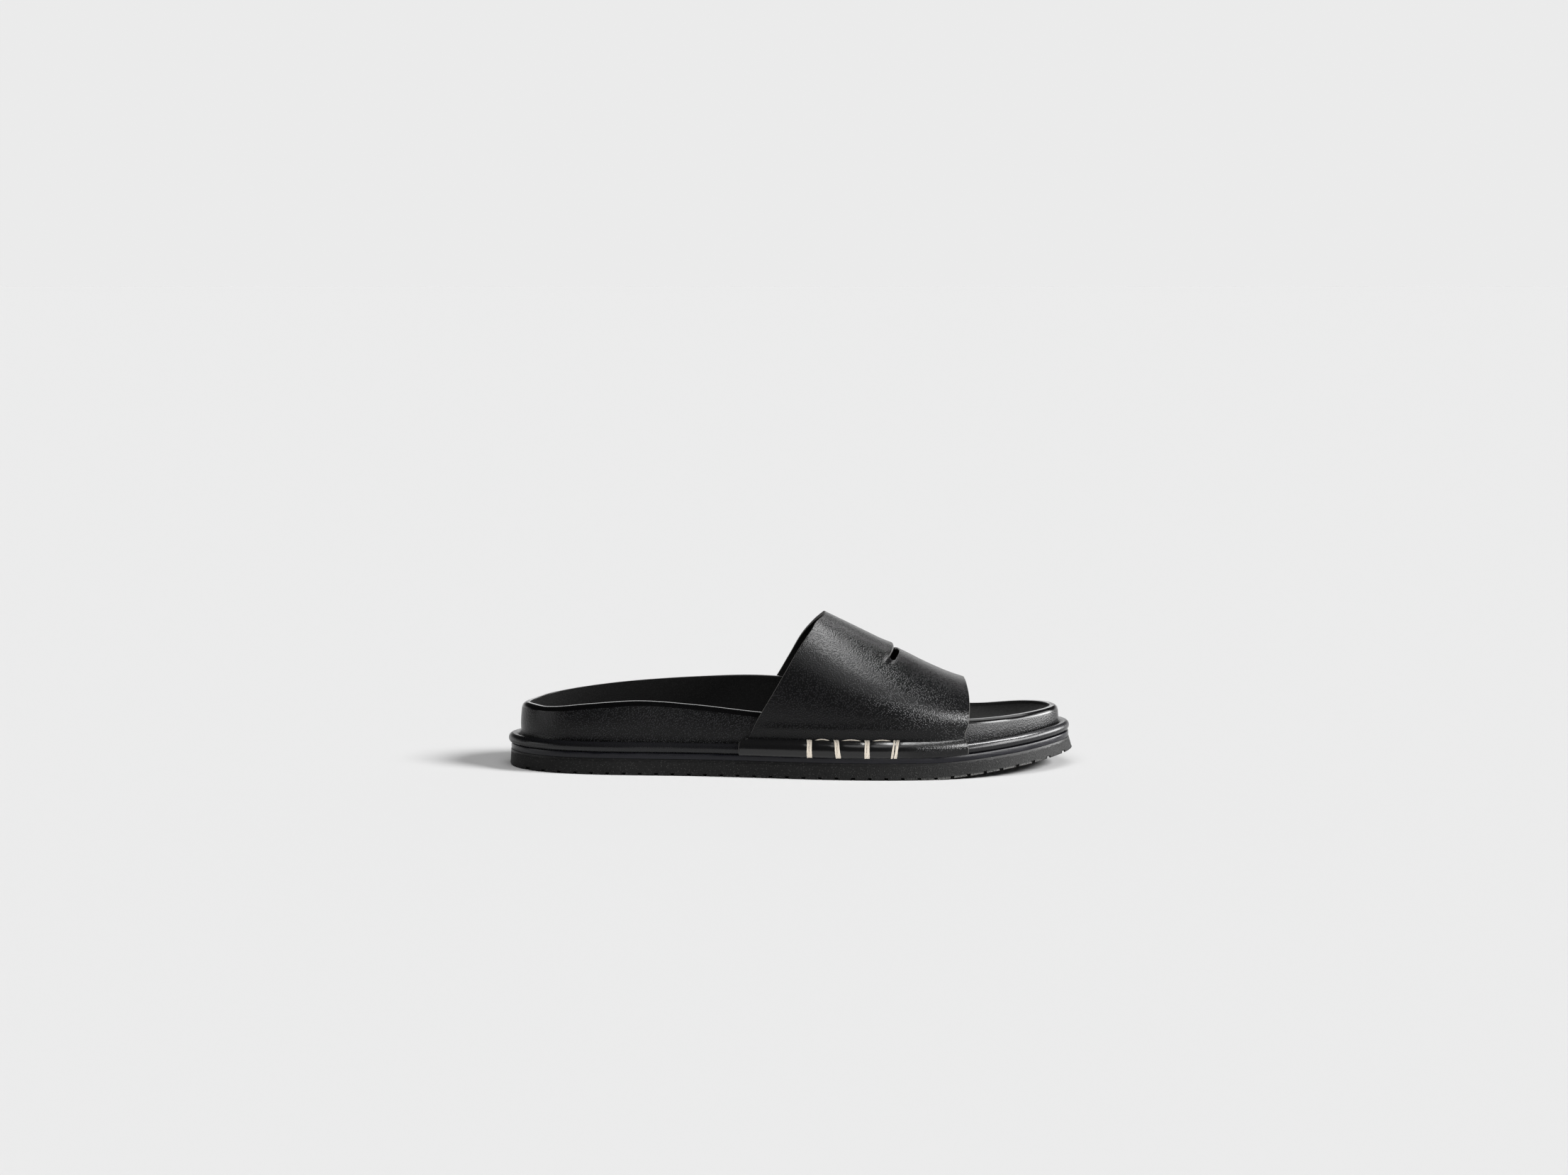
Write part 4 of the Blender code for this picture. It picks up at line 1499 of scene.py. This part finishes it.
    def build(self) -> list[bpy.types.Object]:
        """Both faces of the leather ahead of and behind the slit, and the rounded cut edges between them.

        Columns run evenly between an edge and the slit's line, which goes on to both hems as a seamless
        line. Marks tell cut edges and the inner face.

        Returns:
            The strap.
        """
        v = self.rows()
        middle = self.slit_line(v, np.zeros_like(v))
        _, share = self.slit_place(self.surface(middle, v, np.zeros_like(v), folds=False))
        blunt = 1.0 - self.slit_width / 2 / self.slit_half_length
        closing = np.clip((share - blunt) / (1.0 - blunt), 0.0, 1.0)
        half_width = self.slit_width / 2 * np.sqrt(np.clip(1.0 - closing**2, 0.0, 1.0))
        half_width = np.where(share >= 1.0 - self.slit_shut, 0.0, half_width)
        rear_bevel = np.minimum(self.slit_rear_round, half_width)
        front_bevel = np.minimum(self.slit_front_round, half_width)
        rear, front = self.slit_line(v, -half_width), self.slit_line(v, half_width)
        rear_face = self.slit_line(v, -half_width - rear_bevel)
        front_face = self.slit_line(v, half_width + front_bevel)
        back, fore = self.cut_line(v, self.back_edge), self.cut_line(v, self.front_edge)
        turned = np.full_like(v, self.edge_round)

        face_back = self.face(v, back + turned, rear_face, self.rear_columns, 0.0)
        face_fore = self.face(v, front_face, fore - turned, self.front_columns, 0.0)
        flesh_back = self.face(v, back + turned, rear_face, self.rear_columns, self.thick)
        flesh_fore = self.face(v, front_face, fore - turned, self.front_columns, self.thick)
        rim_back = self.cut_face(v, back + turned, back, turned, 1.0)
        rim_fore = self.cut_face(v, fore - turned, fore, turned, 1.0)
        open_rows = np.flatnonzero(half_width > 0.0)
        span = slice(open_rows[0] - 1, open_rows[-1] + 2)
        slit_back = self.cut_face(v[span], rear_face[span], rear[span], rear_bevel[span], self.slit_cut)
        slit_fore = self.cut_face(v[span], front_face[span], front[span], front_bevel[span], self.slit_cut)
        sheets = [face_back, face_fore, flesh_back, flesh_fore, rim_back, rim_fore]
        patches = sheets + [slit_back, slit_fore] + [self.lip(row, sheets) for row in (0, -1)]
        piece = make_piece("strap_leather", patches, self.crisp)
        return [fit(piece, PEBBLED_LEATHER, "strap_leather", "strap")]

    def face(self, v: np.ndarray, start: np.ndarray, end: np.ndarray, columns: int, depth: float) -> Patch:
        """One face of the leather between two lines.

        Args:
            v: Girth of each row.
            start: x of the first column at each row.
            end: x of the last column at each row.
            columns: Points a row.
            depth: Distance under the outer face.

        Returns:
            The face, marked as lining where it is the inner one and as taut round the hem.
        """
        share = end_weighted(columns)
        x = start[:, None] + (end - start)[:, None] * share
        points = self.surface(x, v[:, None], np.full_like(x, depth))
        hem = ease((np.abs(v[:, None]) - self.arch_girth - self.wall_girth) / self.taut_run)
        taut = hem * (1.0 - self.slack * ease((x - self.slack_from) / self.slack_run))
        return Patch(points, {"lining": np.full(x.shape, float(depth > 0.0)), "taut": taut})

    def cut_face(
        self, v: np.ndarray, face_x: np.ndarray, edge_x: np.ndarray, bevel: np.ndarray, raw: float
    ) -> Patch:
        """Cut edge of the leather: two rounded corners with a flat between them.

        Args:
            v: Girth of each row.
            face_x: x where the two faces end.
            edge_x: x of the cut.
            bevel: Radius of the corners.
            raw: How much the raw leather shows, from 0 to 1.

        Returns:
            The edge from the outer face to the inner face.
        """
        turn = np.linspace(0.0, math.pi / 2, self.edge_steps)
        out = np.concatenate([np.sin(turn), np.sin(turn[::-1])])
        deep = np.concatenate([1.0 - np.cos(turn), np.cos(turn[::-1]) - 1.0])
        far = np.concatenate([np.zeros(self.edge_steps), np.full(self.edge_steps, self.thick)])
        x = face_x[:, None] + (edge_x - face_x)[:, None] * out
        depth = far + bevel[:, None] * deep
        cut = np.broadcast_to(raw * ease(out * self.raw_gain - self.raw_start), x.shape)
        return Patch(self.surface(x, v[:, None], depth), {"cut": cut})

    def lip(self, row: int, sheets: list[Patch]) -> Patch:
        """End face of a hem's lip, from the outer face to the inner face.

        Args:
            row: First or last row of the strap.
            sheets: The strap's faces and cut rims, in the order that build makes them.

        Returns:
            A strip across the leather's thickness.
        """
        back, fore, flesh_back, flesh_fore, rim_back, rim_fore = (sheet.points[row] for sheet in sheets)
        half = self.edge_steps
        outer = np.concatenate([rim_back[half - 1::-1], back, fore, rim_fore[:half]])
        inner = np.concatenate([rim_back[half:], flesh_back, flesh_fore, rim_fore[:half - 1:-1]])
        return Patch(np.stack([outer, inner]))


@dataclass
class HemStitches:
    """Cream thread: bars of parallel strands over each hem, and a thread along the crease between bars."""

    strap: Strap
    steps: int = 44
    sides: int = 10
    twist_pitch: float = 1.7
    twist_depth: float = 0.13
    twist_across: tuple[float, float, float] = (0.0, 0.3, 1.0)
    shut_power: int = 24
    bar_end: float = 1.028
    bar_in: float = 0.05
    bar_out: float = 0.07
    sway: float = 0.12
    sway_phase: float = 1.9
    lift: float = 0.75
    lift_change: float = 0.25
    lift_phase: float = 2.4
    run_radius: float = 0.26
    run_low: float = 0.002
    run_lift: float = 0.010
    run_gap: float = 5.0
    run_in: float = 0.08
    run_proud: float = 0.6
    bury: float = 0.5
    crisp: float = 80.0

    def tube(self, path: np.ndarray, radius: float) -> Patch:
        """Two-ply thread along a path: a circle whose radius has two lobes that wind round as it goes.

        The radius is r * (1 - d + d * cos(2 turn - 2 pi length / pitch)), shut to a point at both ends.

        Args:
            path: Points of the thread's middle.
            radius: Radius of the thread.

        Returns:
            The closed tube, with its valleys marked for painted shade.
        """
        ahead = np.gradient(path, axis=0)
        step = np.linalg.norm(ahead, axis=1)
        ahead = ahead / step[:, None]
        side = np.cross(ahead, self.twist_across)
        side /= np.linalg.norm(side, axis=1)[:, None]
        up = np.cross(side, ahead)
        turn = np.linspace(0.0, 2.0 * math.pi, self.sides + 1)
        wind = np.cumsum(step)[:, None] * 2.0 * math.pi / self.twist_pitch
        lobes = np.cos(2.0 * turn - wind)
        along = np.linspace(0.0, 1.0, len(path))[:, None]
        shut = np.sqrt(np.clip(1.0 - (2.0 * along - 1.0) ** self.shut_power, 0.0, 1.0))
        reach = radius * shut * (1.0 - self.twist_depth + self.twist_depth * lobes)
        turn = turn[None, :, None]
        circle = np.cos(turn) * side[:, None] + np.sin(turn) * up[:, None]
        points = path[:, None] + reach[..., None] * circle
        return Patch(points, {"valley": np.clip(-lobes, 0.0, 1.0) + 0.0 * along})

    def bar(self, side: Side, number: int) -> list[Patch]:
        """Strands of one bar: out of the crease, over the hem, round its lip.

        Args:
            side: Which hem.
            number: Which bar, from the heel.

        Returns:
            One tube a strand.
        """
        bars, strap = self.strap.bars, self.strap
        crease = strap.arch_girth + strap.wall_girth
        t = np.linspace(0.0, 1.0, self.steps)
        begin = crease + strap.hem_girth * bars.start[number]
        v = begin + (self.bar_end - begin) * t
        dive = ease((self.bar_in - t) / self.bar_in) * self.bury
        dive = dive + ease((t - 1.0 + self.bar_out) / self.bar_out) * (strap.thick + bars.strand_radius)
        tubes = []
        for strand in range(bars.strands):
            offset = strand - (bars.strands - 1) / 2
            apart = offset * bars.strand_pitch + bars.parted[number] * np.sign(offset + 0.5)
            wave = np.sin(2.0 * math.pi * t + strand * self.sway_phase)
            sway = self.sway * wave * np.sin(math.pi * t)
            x = bars.top[number] + (bars.bottom[number] - bars.top[number]) * t + apart + sway
            lift = bars.strand_radius * (self.lift + self.lift_change * np.cos(strand * self.lift_phase))
            path = strap.surface(x, side.value * v, dive - lift)
            tubes.append(self.tube(path, bars.strand_radius))
        return tubes

    def run(self, side: Side, number: int) -> Patch:
        """Thread along the crease from one bar to the next, arching a little up the wall between them.

        Args:
            side: Which hem.
            number: The bar it starts from.

        Returns:
            The tube.
        """
        bars, strap = self.strap.bars, self.strap
        t = np.linspace(0.0, 1.0, self.steps)
        start, end = bars.top[number] + self.run_gap / 2, bars.top[number + 1] - self.run_gap / 2
        v = strap.arch_girth + strap.wall_girth + self.run_low - self.run_lift * np.sin(math.pi * t)
        from_end = np.minimum(t, 1.0 - t)
        depth = self.bury * ease(1.0 - from_end / self.run_in) - self.run_radius * self.run_proud
        path = strap.surface(start + (end - start) * t, side.value * v, depth)
        return self.tube(path, self.run_radius)

    def build(self) -> list[bpy.types.Object]:
        """Makes the thread of each hem as one piece.

        Returns:
            The thread of the outer hem and of the inner hem.
        """
        made = []
        count = len(self.strap.bars.top)
        for side in Side:
            tubes = [tube for number in range(count) for tube in self.bar(side, number)]
            tubes += [self.run(side, number) for number in range(count - 1)]
            piece = make_piece(f"hem_stitches_{side.name.lower()}", tubes, self.crisp)
            made.append(fit(piece, CREAM_THREAD, "stitch_thread"))
        return made


def aim(lamp: bpy.types.Light, place: Place, lit: bpy.types.Collection) -> None:
    """Puts a lamp at a place, turned to the origin.

    Args:
        lamp: The lamp.
        place: Where it stands, in metres.
        lit: The pieces that it shines on, and no others.
    """
    made = bpy.data.objects.new(lamp.name, lamp)
    made.location = place
    made.rotation_euler = (-made.location).to_track_quat("-Z", "Y").to_euler()
    made.light_linking.receiver_collection = lit
    bpy.context.scene.collection.objects.link(made)


class Lit(Enum):
    """What a lamp shines on, by how the names of the pieces start."""

    FLOOR = ("floor",)
    UPPER = ("strap",)
    SOLE = ("outsole", "midsole", "piping", "footbed")
    PIPING = ("piping",)
    THREADS = ("hem_stitches",)


@dataclass(frozen=True)
class Softbox:
    """Flat lamp that faces the shoe."""

    name: str
    lit: Lit
    place: Place
    size: tuple[float, float]
    radiance: float

    def build(self, group: bpy.types.Collection) -> None:
        """Makes the lamp, whose power is its radiance times pi times its area.

        Args:
            group: The pieces that it shines on.
        """
        lamp = bpy.data.lights.new(self.name, "AREA")
        lamp.shape = "RECTANGLE"
        lamp.size, lamp.size_y = self.size
        lamp.energy = self.radiance * math.pi * self.size[0] * self.size[1]
        aim(lamp, self.place, group)


@dataclass(frozen=True)
class Sun:
    """Even light from one direction, softened by the spread of its disc."""

    name: str
    lit: Lit
    direction: Place
    spread: float
    strength: float

    def build(self, group: bpy.types.Collection) -> None:
        """Makes the lamp.

        Args:
            group: The pieces that it shines on.
        """
        lamp = bpy.data.lights.new(self.name, "SUN")
        lamp.energy = self.strength
        lamp.angle = math.radians(self.spread)
        aim(lamp, self.direction, group)


@dataclass
class Studio:
    """Pale floor that meets a pale backdrop, soft lamps, and the camera of the photograph."""

    backdrop: float = 0.832
    floor_colour: float = 0.80
    floor_reach: float = 60.0
    room: float = 0.03
    sweep: float = 0.8
    sweep_behind: tuple[float, float] = (0.15, 0.6)
    sweep_low: tuple[float, float] = (0.05, 0.35)
    camera_place: Place = (-0.003458, -1.58030, 0.25030)
    camera_tilt: float = math.radians(84.2487)
    lens: float = 71.538
    sensor: float = 36.0
    lamps: tuple[Sun | Softbox, ...] = (
        Sun("floor_sky", Lit.FLOOR, (0.0, -0.45, 0.90), 60.0, 1.30),
        Sun("floor_key", Lit.FLOOR, (0.80, -0.26, 0.54), 20.0, 3.68),
        Softbox("upper_key", Lit.UPPER, (0.80, -0.80, 0.48), (0.50, 0.50), 32.0),
        Softbox("upper_top", Lit.UPPER, (0.095, 0.0, 0.32), (0.32, 0.07), 15.0),
        Softbox("upper_back", Lit.UPPER, (0.12, 0.28, 0.32), (0.07, 0.24), 2.0),
        Softbox("upper_front", Lit.UPPER, (0.23, -0.75, 0.97), (0.80, 0.60), 1.8),
        Softbox("sole_key", Lit.SOLE, (0.97, -0.48, 0.58), (0.40, 0.35), 19.0),
        Softbox("sole_low", Lit.SOLE, (1.18, -0.31, 0.22), (2.20, 0.50), 13.0),
        Softbox("sole_right", Lit.SOLE, (1.15, 0.35, 0.35), (0.70, 0.60), 3.0),
        Softbox("sole_back", Lit.SOLE, (0.03, 1.10, 0.55), (0.80, 0.50), 2.0),
        Softbox("sole_top", Lit.SOLE, (0.42, 0.35, 0.92), (0.70, 0.60), 2.0),
        Softbox("sole_high", Lit.SOLE, (0.35, -0.72, 0.92), (0.80, 0.50), 1.6),
        Softbox("sole_front", Lit.SOLE, (0.10, -1.20, 0.30), (0.60, 0.40), 2.2),
        Softbox("sole_left", Lit.SOLE, (-1.10, -0.30, 0.15), (0.60, 0.40), 1.5),
        Softbox("piping_top", Lit.PIPING, (0.36, 0.05, 0.60), (0.16, 0.50), 40.0),
        Softbox("thread_box", Lit.THREADS, (0.45, -1.20, 0.45), (0.5, 0.5), 19.0),
    )

    def build_floor(self) -> bpy.types.Object:
        """Large plain floor, matt and pale.

        Returns:
            The floor, which belongs to the stage.
        """
        far = self.floor_reach
        corners = [(-far, -far, 0.0), (far, -far, 0.0), (far, far, 0.0), (-far, far, 0.0)]
        mesh = bpy.data.meshes.new("floor")
        mesh.from_pydata(corners, [], [(0, 1, 2, 3)])
        graph = Graph("floor")
        graph.set(base_color=opaque(WHITE, self.floor_colour), roughness=1.0, specular_ior_level=0.0)
        mesh.materials.append(graph.made)
        floor = bpy.data.objects.new("floor", mesh)
        bpy.context.scene.collection.objects.link(floor)
        return floor

    def build_world(self) -> None:
        """Backdrop of one tone for the eye; for the shoe a dim room with a pale sweep low at the back."""
        world = bpy.data.worlds.new("studio")
        world.use_nodes = True
        tree = world.node_tree
        link = tree.links.new
        shown = tree.nodes["Background"]
        shown.inputs["Color"].default_value = opaque(WHITE)
        shown.inputs["Strength"].default_value = self.backdrop
        seen = tree.nodes.new("ShaderNodeBackground")
        seen.inputs["Color"].default_value = opaque(WHITE)
        axes = tree.nodes.new("ShaderNodeSeparateXYZ")
        link(tree.nodes.new("ShaderNodeTexCoord").outputs["Generated"], axes.inputs[0])
        behind = self.step(tree, axes.outputs["Y"], self.sweep_behind, (0.0, 1.0))
        low = self.step(tree, axes.outputs["Z"], self.sweep_low, (self.sweep, 0.0))
        glow = tree.nodes.new("ShaderNodeMath")
        glow.operation = "MULTIPLY_ADD"
        link(behind, glow.inputs[0])
        link(low, glow.inputs[1])
        glow.inputs[2].default_value = self.room
        link(glow.outputs[0], seen.inputs["Strength"])
        path = tree.nodes.new("ShaderNodeLightPath")
        mix = tree.nodes.new("ShaderNodeMixShader")
        link(path.outputs["Is Camera Ray"], mix.inputs["Fac"])
        link(seen.outputs[0], mix.inputs[1])
        link(shown.outputs[0], mix.inputs[2])
        link(mix.outputs[0], tree.nodes["World Output"].inputs["Surface"])
        bpy.context.scene.world = world

    @staticmethod
    def step(
        tree: bpy.types.NodeTree, value: Socket, reach: tuple[float, float], to: tuple[float, float]
    ) -> Socket:
        """Adds a smooth step to a node tree.

        Args:
            tree: The node tree.
            value: What the step is worked out from.
            reach: Values where the step starts and ends.
            to: Results before and after the step.

        Returns:
            The step's result.
        """
        node = tree.nodes.new("ShaderNodeMapRange")
        node.interpolation_type = "SMOOTHSTEP"
        tree.links.new(value, node.inputs["Value"])
        for socket, number in zip(node.inputs[1:5], (*reach, *to)):
            socket.default_value = number
        return node.outputs[0]

    def build_camera(self) -> None:
        """Camera at the photograph's place and angle."""
        camera = bpy.data.cameras.new("camera")
        camera.lens = self.lens
        camera.sensor_width = self.sensor
        camera.sensor_fit = "HORIZONTAL"
        made = bpy.data.objects.new("camera", camera)
        made.location = self.camera_place
        made.rotation_euler = (self.camera_tilt, 0.0, 0.0)
        bpy.context.scene.collection.objects.link(made)
        bpy.context.scene.camera = made

    def build(self, pieces: list[bpy.types.Object]) -> None:
        """Sets up floor, backdrop, lamps and camera round the pieces.

        Floor and shoe have lamps of their own, so that the floor keeps one even tone.

        Args:
            pieces: All pieces of the shoe.
        """
        bpy.context.scene.view_settings.view_transform = "Standard"
        floor = self.build_floor()
        groups = {}
        for lit in Lit:
            groups[lit] = bpy.data.collections.new(lit.name.lower())
            for piece in [floor] if lit is Lit.FLOOR else pieces:
                if piece.name.startswith(lit.value):
                    groups[lit].objects.link(piece)
        self.build_world()
        for lamp in self.lamps:
            lamp.build(groups[lamp.lit])
        self.build_camera()


def main() -> None:
    """Builds the shoe from the floor up, then the studio round it."""
    last = Last()
    strap = Strap(last)
    pieces = []
    assemblies = (Outsole(last), Midsole(last), Piping(last), Footbed(last), strap, HemStitches(strap))
    for assembly in assemblies:
        pieces += assembly.build()
    Studio().build(pieces)
    log.info("%d pieces", len(pieces))


if __name__ == "__main__":
    main()
